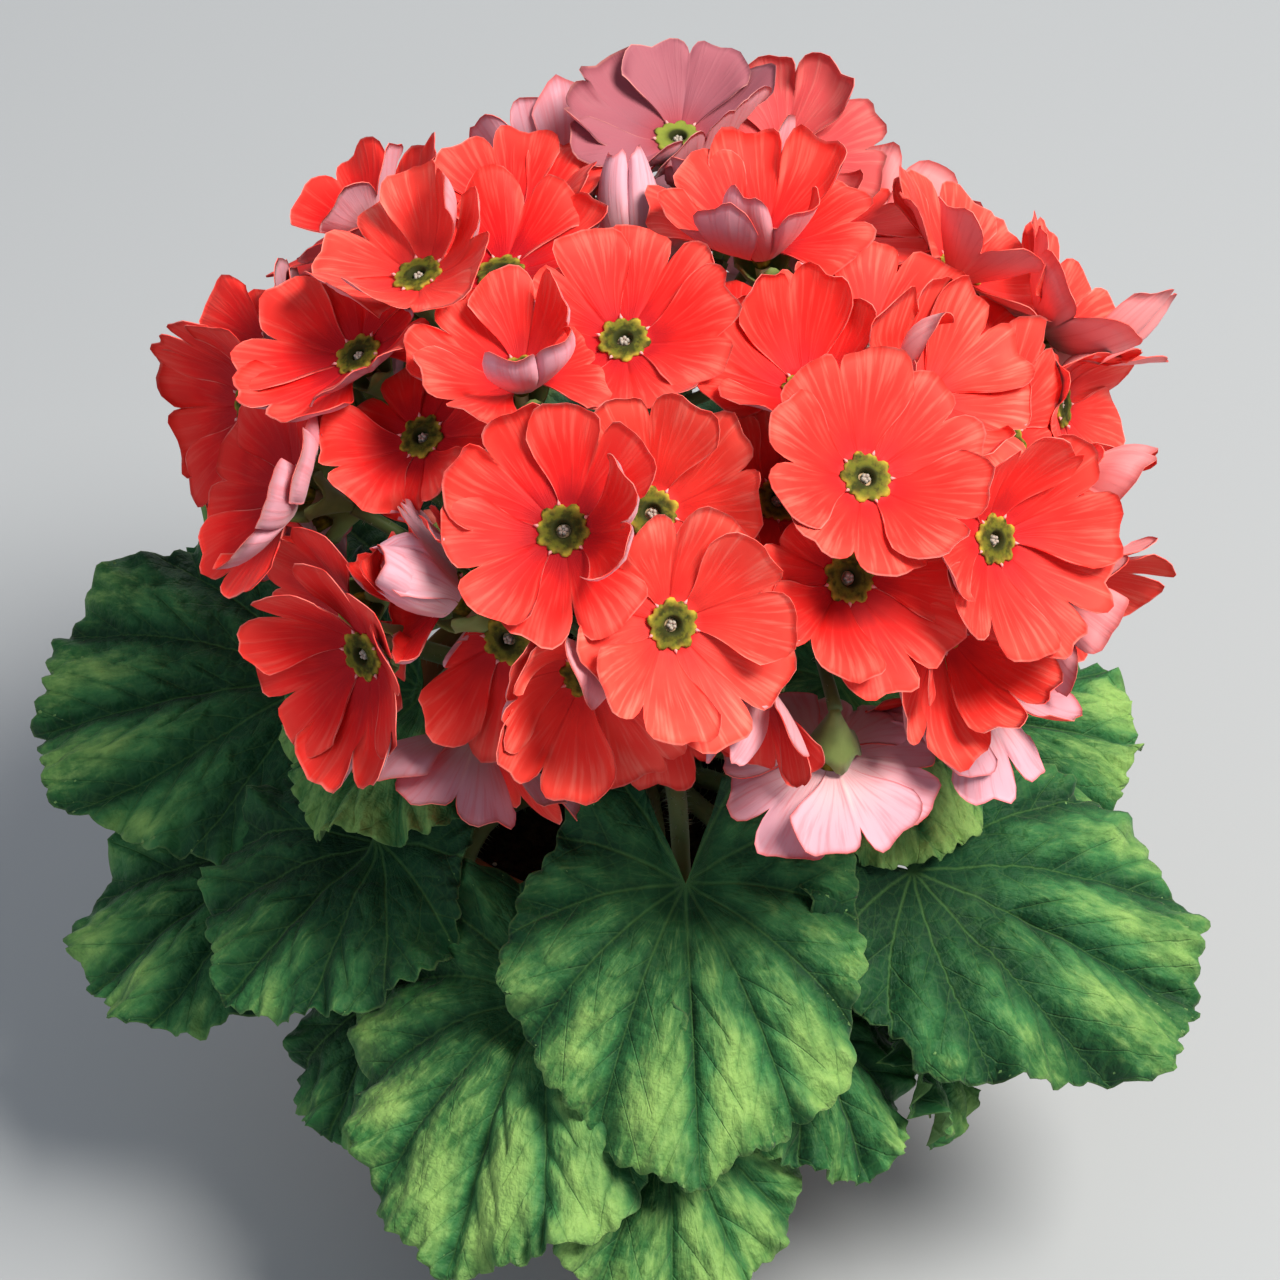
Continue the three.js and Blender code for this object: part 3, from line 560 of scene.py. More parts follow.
# Each bloom that the photo shows: the pixel of its eye, how far out it stands as a share of the head's
# radii, its spin, its size and how many degrees it leans.
SEEN = [
    [678, 137, 1, 10, 1.02, 40],
    [782, 155, 0.98, 25, 1, 60],
    [300, 185, 0.98, 0, 1, 0],
    [640, 215, 0.93, 0, 1, -20],
    [418, 275, 1.08, 0, 1.04, 0],
    [500, 272, 0.96, 20, 1, 0],
    [760, 245, 0.97, 0, 1, 15],
    [960, 270, 0.97, 0, 1, 0],
    [235, 340, 0.95, 0, 1, 0],
    [358, 355, 1, 10, 1, 0],
    [624, 340, 1, 0, 1.04, -6],
    [868, 345, 0.94, 10, 1, 0],
    [1050, 330, 1, 0, 1, 0],
    [205, 400, 0.95, 0, 1, 0],
    [520, 375, 1.03, 15, 0.95, 8],
    [808, 390, 0.97, 0, 1, 12],
    [925, 395, 1, 0, 0.95, 0],
    [1100, 400, 0.95, 0, 1, 0],
    [422, 437, 0.9, 30, 0.95, 0],
    [866, 478, 1.12, 12, 1.04, 0],
    [1008, 440, 0.93, 20, 1, 0],
    [290, 490, 0.95, 0, 1, 0],
    [563, 530, 1.11, 0, 1.04, 0],
    [652, 513, 0.94, 20, 1.02, 0],
    [778, 500, 0.9, 0, 0.9, 0],
    [1105, 500, 0.95, 0, 1, 0],
    [440, 545, 0.9, 0, 1, 0],
    [490, 565, 0.95, 20, 1, -55],
    [849, 578, 0.98, 0, 1.04, 4],
    [995, 540, 1.04, 0, 1.02, 0],
    [1060, 590, 1, 10, 1, 0],
    [363, 655, 1.06, 12, 1.04, 0],
    [508, 640, 0.93, 0, 1, 0],
    [672, 625, 1.07, 8, 1.02, 0],
    [950, 630, 0.95, 0, 1, 0],
    [587, 675, 1, 30, 1.02, -6],
    [755, 690, 0.95, 0, 1, 0],
    [965, 700, 1.02, 15, 1, -35],
    [475, 745, 0.98, 0, 1, 0],
    [832, 762, 1.02, 0, 0.95, -42],
]
# Single blooms that the photo shows otherwise. Swing turns one about the upright and nod about a level
# line. Raised stands its near petals up. Forward, right and drop move it as the camera sees it, and grown
# is a change of size.
POSED = {
    (440, 545): {"swing": -62, "raised": 0.85, "forward": 6, "right": 2, "drop": 10},
    (290, 490): {"swing": -10, "raised": 0.25},
    (678, 137): {"forward": 17, "raised": 0.0},
    (782, 155): {"forward": 8, "raised": 0.0},
    (640, 215): {"forward": -4, "raised": 0.7, "drop": 10, "grown": 1.12},
    (760, 245): {"raised": 1.0},
    (300, 185): {"swing": 14, "raised": 0.3},
    (235, 340): {"swing": 26, "raised": 0.05},
    (205, 400): {"swing": 30, "raised": 0.05},
    (422, 437): {"raised": 0.15},
    (500, 272): {"raised": 0.1},
    (960, 270): {"raised": 0.0},
    (868, 345): {"raised": 0.1},
    (1050, 330): {"swing": -14, "raised": 0.05},
    (1100, 400): {"swing": -22, "raised": 0.05},
    (1105, 500): {"swing": -22, "raised": 0.05},
    (1060, 590): {"swing": -14},
    (418, 275): {"raised": 0.05},
    (358, 355): {"raised": 0.1},
    (624, 340): {"raised": 0.1},
    (520, 375): {"swing": 22, "raised": 1.1},
    (755, 690): {"swing": -38, "nod": -22, "raised": 0.7, "grown": 0.86},
    (950, 630): {"raised": 0.9},
    (832, 762): {"forward": 10, "nod": -12, "raised": 0.0},
    (363, 655): {"swing": -10, "raised": 0.05},
    (508, 640): {"raised": 0.05},
    (672, 625): {"swing": 24, "raised": 0.3},
}
# How much paler or more mauve than coral single blooms are.
SALMON = dict.fromkeys([(925, 395), (652, 513), (672, 625), (587, 675), (418, 275)], 0.45)
SALMON[(782, 155)] = 1.0
MAUVE = {(678, 137): 1.0, (640, 215): 0.7, (782, 155): 0.5}
# The blooms that fill the rest of the dome stand on a spiral, and one that would come too near is left out.
FILL = {"tries": 600, "turn": 137.508, "lowest": -0.45, "out": 0.8, "spread": 0.14, "size": 0.97}
FILL_APART = 23
FILL_CLEAR = 17
WALL = {"near": 60, "clear": 7}
UMBELS = {
    "front_left": ([-28, -34, 168], -35),
    "front_right": ([32, -34, 168], 35),
    "right": ([54, 4, 167], 88),
    "left": ([-52, 8, 168], -88),
    "back": ([8, 38, 170], 125),
    "centre": ([2, 2, 188], None),
}


# The azimuth and rise of the place on the dome that is seen at a pixel of the photo.
def place_seen(x, y, out):
    radii = HEAD_RADII * out
    eye = (np.array(VIEW["target"], float) + FRONT * VIEW["distance"] - HEAD_CENTRE) / radii
    sight = -VIEW["distance"] * FRONT
    sight[0] += (x - VIEW["middle"]) / VIEW["scale"]
    sight = (sight + PICTURE_UP * (VIEW["middle"] - y) / VIEW["scale"]) / radii
    a = sight @ sight
    b = eye @ sight
    root = math.sqrt(max(0.0, b * b - a * (eye @ eye - 1)))
    place = unit(eye + sight * (-b - root) / a)
    return math.atan2(place[0], -place[1]) / DEG, math.asin(place[2]) / DEG


# A bloom's facing is the way out of its middle, and u and v are the axes of its disc. Of two blooms, the one
# with the larger claim lies over the other.
class Bloom:
    def __init__(self, azimuth, rise, out, spin, size, lean):
        level = heading(azimuth)
        way = level * math.cos(rise * DEG) + UP * math.sin(rise * DEG)
        self.middle = HEAD_CENTRE + way * HEAD_RADII * out
        self.facing = turned(unit(way / HEAD_RADII), unit(np.cross(level, UP)), lean)
        u = np.cross(UP, self.facing)
        self.u = unit(u) if np.linalg.norm(u) >= 0.1 else RIGHT
        self.v = np.cross(self.facing, self.u)
        self.size = size
        self.radius = BLOOM["radius"] * size * (1.05 if size < 1.03 else 1.0)
        self.spin = spin
        self.claim = out

    def behind(self, depth):
        return self.middle - self.facing * depth

    # The way out of the middle at a turn in radians.
    def way(self, turn):
        return between(self.u, self.v, turn)


def umbel_of(bloom):
    foot = bloom.behind(CALYX["foot_depth"] + 3)
    return min(UMBELS, key=lambda name: np.linalg.norm(np.array(UMBELS[name][0]) - foot))


# Whether the stalk of one bloom would run through the corolla of the other.
def runs_through(outer, inner):
    foot = outer.behind(CALYX["foot_depth"])
    run = foot - np.array(UMBELS[umbel_of(outer)][0], float)
    t = ((foot - inner.middle) @ inner.facing) / (run @ inner.facing)
    return 0 < t < 1 and np.linalg.norm(foot - run * t - inner.middle) < FILL_CLEAR


def pose(bloom):
    change = POSED.get(bloom.pixel, {})
    bloom.raised = change.get("raised", bloom.raised)
    forward = change.get("forward", 0)
    bloom.middle = bloom.middle + FRONT * forward - PICTURE_UP * change.get("drop", 0)
    bloom.middle[0] += change.get("right", 0)
    bloom.claim += 0.02 * forward
    bloom.size *= change.get("grown", 1)
    bloom.radius *= change.get("grown", 1)
    sideways = np.cross(unit(bloom.facing * (1, 1, 0)), UP)
    for axis in ("facing", "u", "v"):
        nodded = turned(getattr(bloom, axis), sideways, change.get("nod", 0))
        setattr(bloom, axis, turned(nodded, UP, change.get("swing", 0)))


def all_blooms():
    blooms = []
    for x, y, out, spin, size, lean in SEEN:
        blooms.append(Bloom(*place_seen(x, y, out), out, spin, size, lean))
    for i in range(FILL["tries"]):
        height = 1 - ((1 - FILL["lowest"]) * (i + 0.5)) / FILL["tries"]
        rise = math.asin(height) / DEG
        out = FILL["out"] + FILL["spread"] * chance(i, 3)
        fresh = Bloom((i * FILL["turn"]) % 360, rise, out, 72 * chance(i, 4), FILL["size"], 0)
        if any(np.linalg.norm(b.middle - fresh.middle) <= FILL_APART for b in blooms):
            continue
        if any(runs_through(b, fresh) or runs_through(fresh, b) for b in blooms):
            continue
        blooms.append(fresh)
    for i, bloom in enumerate(blooms):
        bloom.index = i
        bloom.pixel = tuple(SEEN[i][:2]) if i < len(SEEN) else None
        bloom.claim += 0.03 * (chance(i, 6) - 0.5)
        bloom.cup = 0.2 + 0.24 * chance(i, 5) + 0.12 * max(0.0, bloom.facing[1])
        bloom.raised = 0.08 + 0.5 * chance(i, 32)
        bloom.rear = bloom.behind(BLOOM["tube_end"])
        if bloom.pixel:
            pose(bloom)
    return blooms


# The planes past which a bloom's petals don't reach: each stands just short of a neighbour's eye and calyx.
def walls_of(bloom, blooms):
    normals = []
    reaches = []
    for other in blooms:
        away = other.middle - bloom.middle
        gap = np.linalg.norm(away)
        if other is not bloom and gap < WALL["near"]:
            normals.append(away / gap)
            reaches.append(gap - WALL["clear"])
    return np.array(normals), np.array(reaches)


PETAL_ROWS = 12
HALF_ACROSS = [0.03, 0.08, 0.15, 0.24, 0.35, 0.46, 0.58, 0.69, 0.79, 0.88, 0.95, 1]
ACROSS = np.array([-x for x in HALF_ACROSS[::-1]] + [0] + HALF_ACROSS)
PETAL_COLUMNS = len(ACROSS)
# The places of a petal's grid points: T from 0 at the eye to 1 at the edge, W from -1 to 1 across.
T = (np.linspace(0, 1, PETAL_ROWS) ** 0.9)[:, None] * np.ones(PETAL_COLUMNS)
W = np.ones(PETAL_ROWS)[:, None] * ACROSS
PETAL_START = 0.17
BENDS = [0.6, -0.3]
EDGE_LIFT = 0.8
PRESS = {"gap": 0.7, "most": 15, "near": 52, "passes": 120, "skip": 0.01}


# How far out the edge of a petal lies across it: two round lobes, a notch and small nicks and waves.
def petal_edge(bloom, k):
    seed = 10 * bloom.index + k
    side = np.abs(ACROSS)
    notch = 0.15 + 0.17 * chance(seed, 11)
    edge = 1.02 - notch * np.exp(-side / 0.06) - 0.04 * side**2 - 0.17 * side**7
    nick = (0.45 + 0.25 * chance(seed, 12)) * (1 if chance(seed, 13) > 0.5 else -1)
    edge = edge - 0.07 * chance(seed, 14) ** 2 * np.exp(-np.abs(ACROSS - nick) / 0.06)
    edge = edge + 0.014 * np.sin(16 * ACROSS + 6 * chance(seed, 25))
    return edge + 0.02 * np.sin(9.5 * ACROSS + 6 * chance(seed, 15))


# The width of a petal at t from the eye to its tip, as half an angle in degrees.
def petal_spread(t):
    return 35.5 + 12 * smooth(t * 1.25)


# How much of its length each column keeps, and the way a petal is bent, to stay clear of the walls.
def petal_folds(bloom, k, edge, walls):
    normals, reaches = walls
    full = edge * bloom.radius
    level = bloom.cup * bloom.radius * edge**1.5
    angle = (bloom.spin + 72 * k + ACROSS * petal_spread(1.0)) * DEG
    side = np.outer(np.cos(angle), bloom.u) + np.outer(np.sin(angle), bloom.v)
    best = None
    for bend in BENDS:
        fold = np.full(PETAL_COLUMNS, 0.3)
        done = np.zeros(PETAL_COLUMNS, bool)
        for keep in np.arange(1.0, 0.3, -0.02):
            height = level + bend * full * math.sqrt(1 - keep * keep)
            offset = side * (keep * full)[:, None] + np.outer(height, bloom.facing)
            clear = np.all(offset @ normals.T < reaches, axis=1)
            fold[clear & ~done] = keep
            done |= clear
        cost = np.sum(1 - fold) + (0.15 if bend < 0 else 0)
        if best is None or cost < best[0]:
            best = (cost, bend, fold)
    fold = best[2]
    padded = np.concatenate([[fold[0]] * 2, fold, [fold[-1]] * 2])
    least = np.minimum(np.minimum(padded[1:-3], padded[2:-2]), padded[3:-1])
    padded = np.concatenate([[least[0]] * 2, least, [least[-1]] * 2])
    even = sum(padded[i : i + len(fold)] for i in range(5)) / 5
    return best[1], even


# How far a petal is turned up from the eye's rim, in radians: those toward the front stand up more.
def petal_tilt(bloom, k):
    draw = chance(10 * bloom.index + k % PETALS, 22)
    toward = max(0.0, float(bloom.way((bloom.spin + 72 * k) * DEG) @ FRONT))
    return 0.3 * (draw - 0.45) + (0.2 if draw > 0.88 else 0.0) + bloom.raised * toward**1.5


# How a petal's sides bend, as a share of the radius.
def petal_curl(bloom, k):
    return 0.12 * (chance(10 * bloom.index + k % PETALS, 23) - 0.6)


# The lifts of a petal's right and left edge, so that each lies clearly over or under the petal beside it.
def edge_lifts(bloom, k):
    heights = [petal_tilt(bloom, j) * (1 - BLOOM["eye"]) + petal_curl(bloom, j) for j in (k, k + 1, k + 4)]
    right = EDGE_LIFT if heights[0] >= heights[1] else -EDGE_LIFT
    left = EDGE_LIFT if heights[0] > heights[2] else -EDGE_LIFT
    return right, left


# The front of one petal as a grid of points, before its neighbours press on it.
def petal_sheet(bloom, k, walls):
    seed = 10 * bloom.index + k
    size = bloom.size
    side = np.abs(W)
    edge = petal_edge(bloom, k)
    bend, fold = petal_folds(bloom, k, edge, walls)
    share = PETAL_START + (edge - PETAL_START) * T
    keep = 1 - (1 - fold) * T**2
    rho = share * bloom.radius * keep
    cup = bloom.cup + 0.16 * (chance(seed, 16) - 0.5)
    height = cup * bloom.radius * (share**1.5 - BLOOM["eye"] ** 1.5 * (1 - T))
    height += bend * share * bloom.radius * np.sqrt(np.maximum(0, 1 - keep**2))
    height += petal_curl(bloom, k) * bloom.radius * side**1.7 * T
    right, left = edge_lifts(bloom, k)
    height += size * T * (right * np.maximum(0, W) ** 2 + left * np.maximum(0, -W) ** 2)

    # The crease down its middle, one on each lobe, the waves of its edge and its curled tip.
    height -= 0.55 * size * np.exp(-side / 0.1) * np.sin(math.pi * T**0.8)
    crease = 0.4 + 0.12 * chance(seed, 17)
    height -= 0.22 * size * np.exp(-((side - crease) ** 2) / 0.006) * T * (1 - 0.4 * T)
    wave = np.sin(math.pi * (2.3 * W + 2 * chance(seed, 18))) * (0.3 + 0.8 * chance(seed, 19))
    height += size * wave * T**3
    height += size * 0.35 * np.sin(7 * W + 6 * chance(seed, 20)) * T**4
    tip = 1.9 * chance(seed, 21) if chance(seed, 24) < 0.78 else -2.8
    height -= size * tip * ramp(T, 0.72, 0.28) ** 2

    # The turn about the eye's rim, and the walls.
    tilt = petal_tilt(bloom, k)
    rim = BLOOM["eye"] * bloom.radius
    turned_rho = rim + (rho - rim) * math.cos(tilt) - height * math.sin(tilt) * T
    height = (rho - rim) * math.sin(tilt) + height * (math.cos(tilt) * T + 1 - T)
    wider = np.clip((rho / np.maximum(turned_rho, 0.3 * rho)) ** 0.6, 0.9, 1.35)
    angle = (bloom.spin + 72 * k + W * wider * petal_spread(T)) * DEG
    way = np.cos(angle)[..., None] * bloom.u + np.sin(angle)[..., None] * bloom.v
    offset = (turned_rho[..., None] * way + height[..., None] * bloom.facing).reshape(-1, 3)
    for normal, reach in zip(*walls):
        past = np.maximum(0, offset @ normal - reach)
        offset -= past[:, None] * normal
    return offset.reshape(PETAL_ROWS, PETAL_COLUMNS, 3) + bloom.middle


# How far each point must sink to lie under all the petals that are laid already.
def needed_depths(points, ways, tree):
    depths = np.zeros(len(points))
    for i, (point, way) in enumerate(zip(points, ways)):
        down = Vector(-way)
        start = Vector(point + way * PRESS["gap"])
        travelled = 0.0
        while travelled < PRESS["most"]:
            hit, _, _, distance = tree.ray_cast(start, down, PRESS["most"] - travelled)
            if hit is None:
                break
            travelled += distance + PRESS["skip"]
            depths[i] = travelled
            start = hit + down * PRESS["skip"]
    return depths


# Presses a bloom's petals under those of the blooms that stand further out, as a soft sheet would drape.
def press_under(bloom, sheets, laid):
    near = [other.sheets for other in laid if np.linalg.norm(other.middle - bloom.middle) < PRESS["near"]]
    if not near:
        return sheets
    points = np.vstack([sheet.reshape(-1, 3) for group in near for sheet in group])
    cells = np.array(grid_faces(PETAL_ROWS, PETAL_COLUMNS))
    faces = np.vstack([cells + start for start in range(0, len(points), PETAL_ROWS * PETAL_COLUMNS)])
    tree = BVHTree.FromPolygons(points.tolist(), faces.tolist())
    whole = np.concatenate(sheets, axis=1)
    ways = (whole - HEAD_CENTRE) / HEAD_RADII**2
    ways /= np.linalg.norm(ways, axis=2)[..., None]
    needed = needed_depths(whole.reshape(-1, 3), ways.reshape(-1, 3), tree).reshape(whole.shape[:2])
    needed *= smooth(np.linspace(0, 1, PETAL_ROWS)[:, None] / 0.3)
    if not needed.any():
        return sheets
    depth = needed.copy()
    for _ in range(PRESS["passes"]):
        inner = np.vstack([np.zeros((1, depth.shape[1])), depth[:-1]])
        outer = np.vstack([depth[1:], depth[-1:]])
        beside = np.roll(depth, 1, axis=1) + np.roll(depth, -1, axis=1)
        depth = np.maximum(needed, (inner + outer + beside) / 4)
    return np.split(whole - ways * depth[..., None], PETALS, axis=1)


# Closes a petal's front with a back and a rim, and adds it.
def add_petal(piece, sheet, bloom, tone):
    out = np.cross(np.gradient(sheet, axis=0), np.gradient(sheet, axis=1))
    out /= np.maximum(1e-9, np.linalg.norm(out, axis=2))[..., None]
    if np.sum(out @ bloom.facing) < 0:
        out = -out
    thin = 0.42 - 0.24 * T**2
    rear = sheet - out * thin[..., None]
    n = PETAL_ROWS * PETAL_COLUMNS
    front = grid_faces(PETAL_ROWS, PETAL_COLUMNS, flip=True)
    back = grid_faces(PETAL_ROWS, PETAL_COLUMNS, start=n)
    ids = np.arange(n).reshape(PETAL_ROWS, PETAL_COLUMNS)
    loop = [*ids[0], *ids[1:, -1], *ids[-1, -2::-1], *ids[-2:0:-1, 0]]
    rim = [[b, a, a + n, b + n] for a, b in neighbours(loop)]
    places = np.stack([(W + 1) / 2, T], axis=2).reshape(-1, 2)
    slots = [FACE] * len(front) + [BACK] * len(back) + [FACE] * len(rim)
    piece.add(np.vstack([sheet, rear]), front + back + rim, slots, np.vstack([places, places]), tone)


# The scalloped eye dips into the throat, where a stigma stands among five anthers, with a small pale fold
# between every two petals and a tube behind. Each ring is a radius and a height.
EYE_TOP = [(4.9, 0.2), (4.5, 0.5), (3.9, 0.55), (3.2, 0.5), (2.5, 0.6)]
EYE_TOP += [(2.0, 0.75), (1.72, 0.55), (1.45, -0.1), (1.3, -1.6), (1.2, -4.5)]
EYE_UNDER = [(4.7, -0.2), (2.6, -0.9), (2.1, -3), (1.7, -5)]
EYE_SIDES = 40
TUBE_RINGS = [(1.3, -11), (1.5, -8), (1.6, -4), (1.7, -1.0)]
ANTHERS = {"turn": 20, "ring": 0.62, "height": -0.35, "radius": 0.44, "length": 0.7}
STIGMA = {"height": -0.6, "radius": 0.42}
SPECKS = {"turn": 36, "start": (4.3, 0.45), "end": (5.6, 0.95), "width": 0.4}


# The ten rounded scallops of the eye: 1 in the middle of one and 0 in the cleft beside it.
def lobe_of(turn):
    return abs(math.cos(PETALS * turn)) ** 0.7


def add_eye(piece, bloom, tone):
    size = bloom.size

    def at(radius, height, turn):
        return bloom.middle + size * (radius * bloom.way(turn + bloom.spin * DEG) + height * bloom.facing)

    points = []
    places = []
    for rings, depth, lift, inner in ((EYE_TOP, 3, 0.3, 1), (EYE_UNDER, 1, 0, 0)):
        for j, (radius, height) in enumerate(rings):
            lively = max(0, 1 - j / depth)
            for turn in circle(EYE_SIDES):
                lobe = lobe_of(turn)
                scallop = 1 + lively * (0.16 * (lobe - 0.75) + 0.05 * math.cos(PETALS * turn + 0.4))
                points.append(at(radius * scallop, height + lift * lobe * lively, turn))
                places.append((turn / TURN, inner * j / (len(EYE_TOP) - 1)))
    n = len(EYE_TOP) * EYE_SIDES
    first = list(range(EYE_SIDES))
    faces = grid_faces(len(EYE_TOP), EYE_SIDES, wrapped=True)
    faces += grid_faces(len(EYE_UNDER), EYE_SIDES, wrapped=True, start=n, flip=True)
    faces += [[j, i, n + i, n + j] for i, j in neighbours(first)]
    faces.append([n - EYE_SIDES + i for i in first])
    faces.append([len(points) - EYE_SIDES + i for i in first][::-1])
    piece.add(points, faces, EYE, places, tone)
    for k in range(PETALS):
        place = at(ANTHERS["ring"], ANTHERS["height"], (72 * k + ANTHERS["turn"]) * DEG)
        add_bead(piece, place, bloom.facing, ANTHERS["radius"] * size, ANTHERS["length"] * size, ANTHER)
    stigma = STIGMA["radius"] * size
    add_bead(piece, at(0, STIGMA["height"], 0), bloom.facing, stigma, stigma, ANTHER)
    for k in range(PETALS):
        turn = (72 * k + SPECKS["turn"]) * DEG
        ends = [at(*SPECKS[end], turn) for end in ("start", "end")]
        add_speck(piece, *ends, bloom.facing, SPECKS["width"] * size)
    rings = [(radius * size, height) for radius, height in TUBE_RINGS]
    add_turned(piece, bloom.middle, bloom.facing, rings, 10, TUBE)


# The small pale fold between two petals at the eye.
def add_speck(piece, start, end, up, width):
    side = unit(np.cross(end - start, up)) * width
    middle = start + 0.35 * (end - start)
    points = [start, middle + side, end, middle - side, middle + up * 0.55, middle - up * 0.4]
    faces = [[0, 1, 4], [1, 2, 4], [2, 3, 4], [3, 0, 4], [1, 0, 5], [2, 1, 5], [3, 2, 5], [0, 3, 5]]
    piece.add(points, faces, SPECK)


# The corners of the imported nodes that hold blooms.
NODE_POINTS = {}
for node_name, node in frame["nodes"].items():
    if node_name.startswith("blooms_"):
        corners = np.zeros(len(node.data.vertices) * 3)
        node.data.vertices.foreach_get("co", corners)
        NODE_POINTS[node_name] = corners.reshape(-1, 3) / MM


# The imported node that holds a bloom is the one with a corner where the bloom's tube ends.
def node_of(bloom):
    def distance(name):
        return np.min(np.linalg.norm(NODE_POINTS[name] - bloom.rear, axis=1))

    return min(NODE_POINTS, key=distance)


# How pale a bloom is, how mauve, and a number of its own: most are coral. Paleness is partly the bloom's own
# and partly painted light and shade, paler for blooms facing right and deeper for those facing left.
def tone_of(bloom):
    sideways = float(bloom.facing[0])
    # Painted light and shade: facing right adds paleness and facing left takes it away.
    pale_and_painted_light = 0.05 + 0.26 * chance(bloom.index, 30) + 0.14 * max(0.0, sideways)
    pale_and_painted_light += SALMON.get(bloom.pixel, 0.0) - 0.34 * max(0.0, -sideways)
    return (pale_and_painted_light, MAUVE.get(bloom.pixel, 0.0), chance(bloom.index, 31))


blooms = all_blooms()
laid = []
for bloom in sorted(blooms, key=lambda b: -b.claim):
    walls = walls_of(bloom, blooms)
    sheets = [petal_sheet(bloom, k, walls) for k in range(PETALS)]
    bloom.sheets = press_under(bloom, sheets, laid)
    laid.append(bloom)
bunches = {}
for bloom in blooms:
    bunches.setdefault(node_of(bloom), []).append(bloom)
for node_name, members in sorted(bunches.items()):
    piece = Piece()
    for bloom in members:
        tone = tone_of(bloom)
        for sheet in bloom.sheets:
            add_petal(piece, sheet, bloom, tone)
        add_eye(piece, bloom, tone)
    piece.build(node_name.replace("blooms", "corollas"), COROLLA_MATERIALS, [node_name])


# Flower stalks

# The outside of a calyx: each ring is a share of its depth and a radius.
CALYX_OUTER = [(0.0, 1.0), (0.12, 1.35), (0.3, 2.1), (0.55, 3.3), (0.8, 4.7), (1.0, CALYX["rim_radius"])]
HAIR_WIDTH = 0.09
# How many hairs a stalk has, and how long they are.
HAIRS = {"stalk": (260, 1.3), "pedicel": (24, 0.9), "petiole": (220, 1.5)}
UMBEL = {"steps": 14, "sides": 14, "knee_out": 1.6, "knee_rise": 30, "bracts": 9, "buds": 4}
PEDICEL = {"steps": 10, "sides": 8}
BUD_CALYX = [(0.9, -0.5), (1.9, 1.2), (2.6, 3.4), (2.5, 5.2), (1.6, 6.8), (0.5, 7.6)]
BUD_TIP = [(1.3, 6.0), (1.7, 7.4), (1.1, 9.0), (0.2, 9.9)]


def bezier(a, b, c, d, steps):
    t = np.linspace(0, 1, steps)[:, None]
    return a * (1 - t) ** 3 + 3 * b * t * (1 - t) ** 2 + 3 * c * t**2 * (1 - t) + d * t**3


# A ribbed, lobed cup with a thin wall.
def add_calyx(piece, bloom):
    depth = CALYX["foot_depth"] - CALYX["rim_depth"]
    rows = []
    for inside, rings in ((0, CALYX_OUTER), (1, CALYX_OUTER[::-1][:-2])):
        for share, radius in rings:
            row = []
            for turn in circle(30):
                fold = math.cos(CALYX["lobes"] * (turn - bloom.spin * DEG))
                r = (radius + 0.28 * share * fold) * bloom.size - CALYX["wall"] * inside
                height = -CALYX["foot_depth"] + depth * share + 1.7 * fold * max(0, share - 0.7) / 0.3
                height += 0.5 * (1 - share) * inside
                row.append(bloom.middle + r * bloom.way(turn) + height * bloom.facing)
            rows.append(row)
    piece.add_rings(rows, SEPAL)


# Fine hairs that stand off a path: short three-sided points.
def add_hairs(piece, path, radii, count, length, seed):
    along = np.gradient(path, axis=0)
    for i in range(count):
        at = chance(i, seed) * (len(path) - 1.001)
        j = int(at)
        point = path[j] + (path[j + 1] - path[j]) * (at - j)
        way = unit(along[j])
        side = unit(np.cross(way, UP + 0.3 * way + np.array([0.11, 0.07, 0])))
        out = between(side, np.cross(way, side), TURN * chance(i, seed + 1))
        root = point + out * (radii[j] - 0.1)
        lean = way * 0.3 * (chance(i, seed + 3) - 0.5)
        add_hair(piece, root, root + out * length * (0.6 + 0.6 * chance(i, seed + 2)) + lean)


def add_hair(piece, root, tip):
    way = unit(tip - root)
    side = unit(np.cross(way, UP + np.array([0.13, 0.31, 0])))
    base = [root + HAIR_WIDTH * between(side, np.cross(way, side), turn) for turn in (0, 2.1, 4.2)]
    piece.add([*base, tip], [[0, 1, 3], [1, 2, 3], [2, 0, 3], [2, 1, 0]], HAIR)


# The small pointed leaf under the bloom stalks.
def add_bract(piece, foot, way, length):
    side = unit(np.cross(way, UP + np.array([0.2, 0.1, 0]))) * 0.9
    up = unit(np.cross(side, way)) * 0.3
    middle = foot + way * length * 0.5
    tip = foot + way * length
    points = [foot + side * 0.6, foot - side * 0.6, middle - side, middle + side, tip]
    points += [p - up for p in points]
    faces = [[0, 1, 2, 3], [3, 2, 4], [6, 5, 8, 7], [7, 8, 9]]
    faces += [[0, 3, 8, 5], [3, 4, 9, 8], [4, 2, 7, 9], [2, 1, 6, 7], [1, 0, 5, 6]]
    piece.add(points, faces, SEPAL)


# A closed bud in its calyx, on a short stalk.
def add_bud(piece, top, way, seed):
    length = 9 + 9 * chance(seed, 40)
    foot = top + way * length
    path = bezier(top, top + way * 3, foot - way * 3, foot, 6)
    add_tube(piece, path, [0.8] * 6, 6, STEM)
    add_turned(piece, foot, way, BUD_CALYX, 12, SEPAL)
    add_turned(piece, foot, way, BUD_TIP, 10, BUD)


# The thin stalk of one bloom, with its calyx.
def add_pedicel(piece, top, bloom):
    foot = bloom.behind(CALYX["foot_depth"])
    run = foot - top
    path = bezier(top, top + run * 0.35, foot - run * 0.2 - bloom.facing * 2.5, foot, PEDICEL["steps"])
    radii = np.linspace(STALK["pedicel_radius"], CALYX["foot_radius"], PEDICEL["steps"])
    add_tube(piece, path, radii, PEDICEL["sides"], STEM)
    add_hairs(piece, path, radii, *HAIRS["pedicel"], 60 + bloom.index)
    add_calyx(piece, bloom)


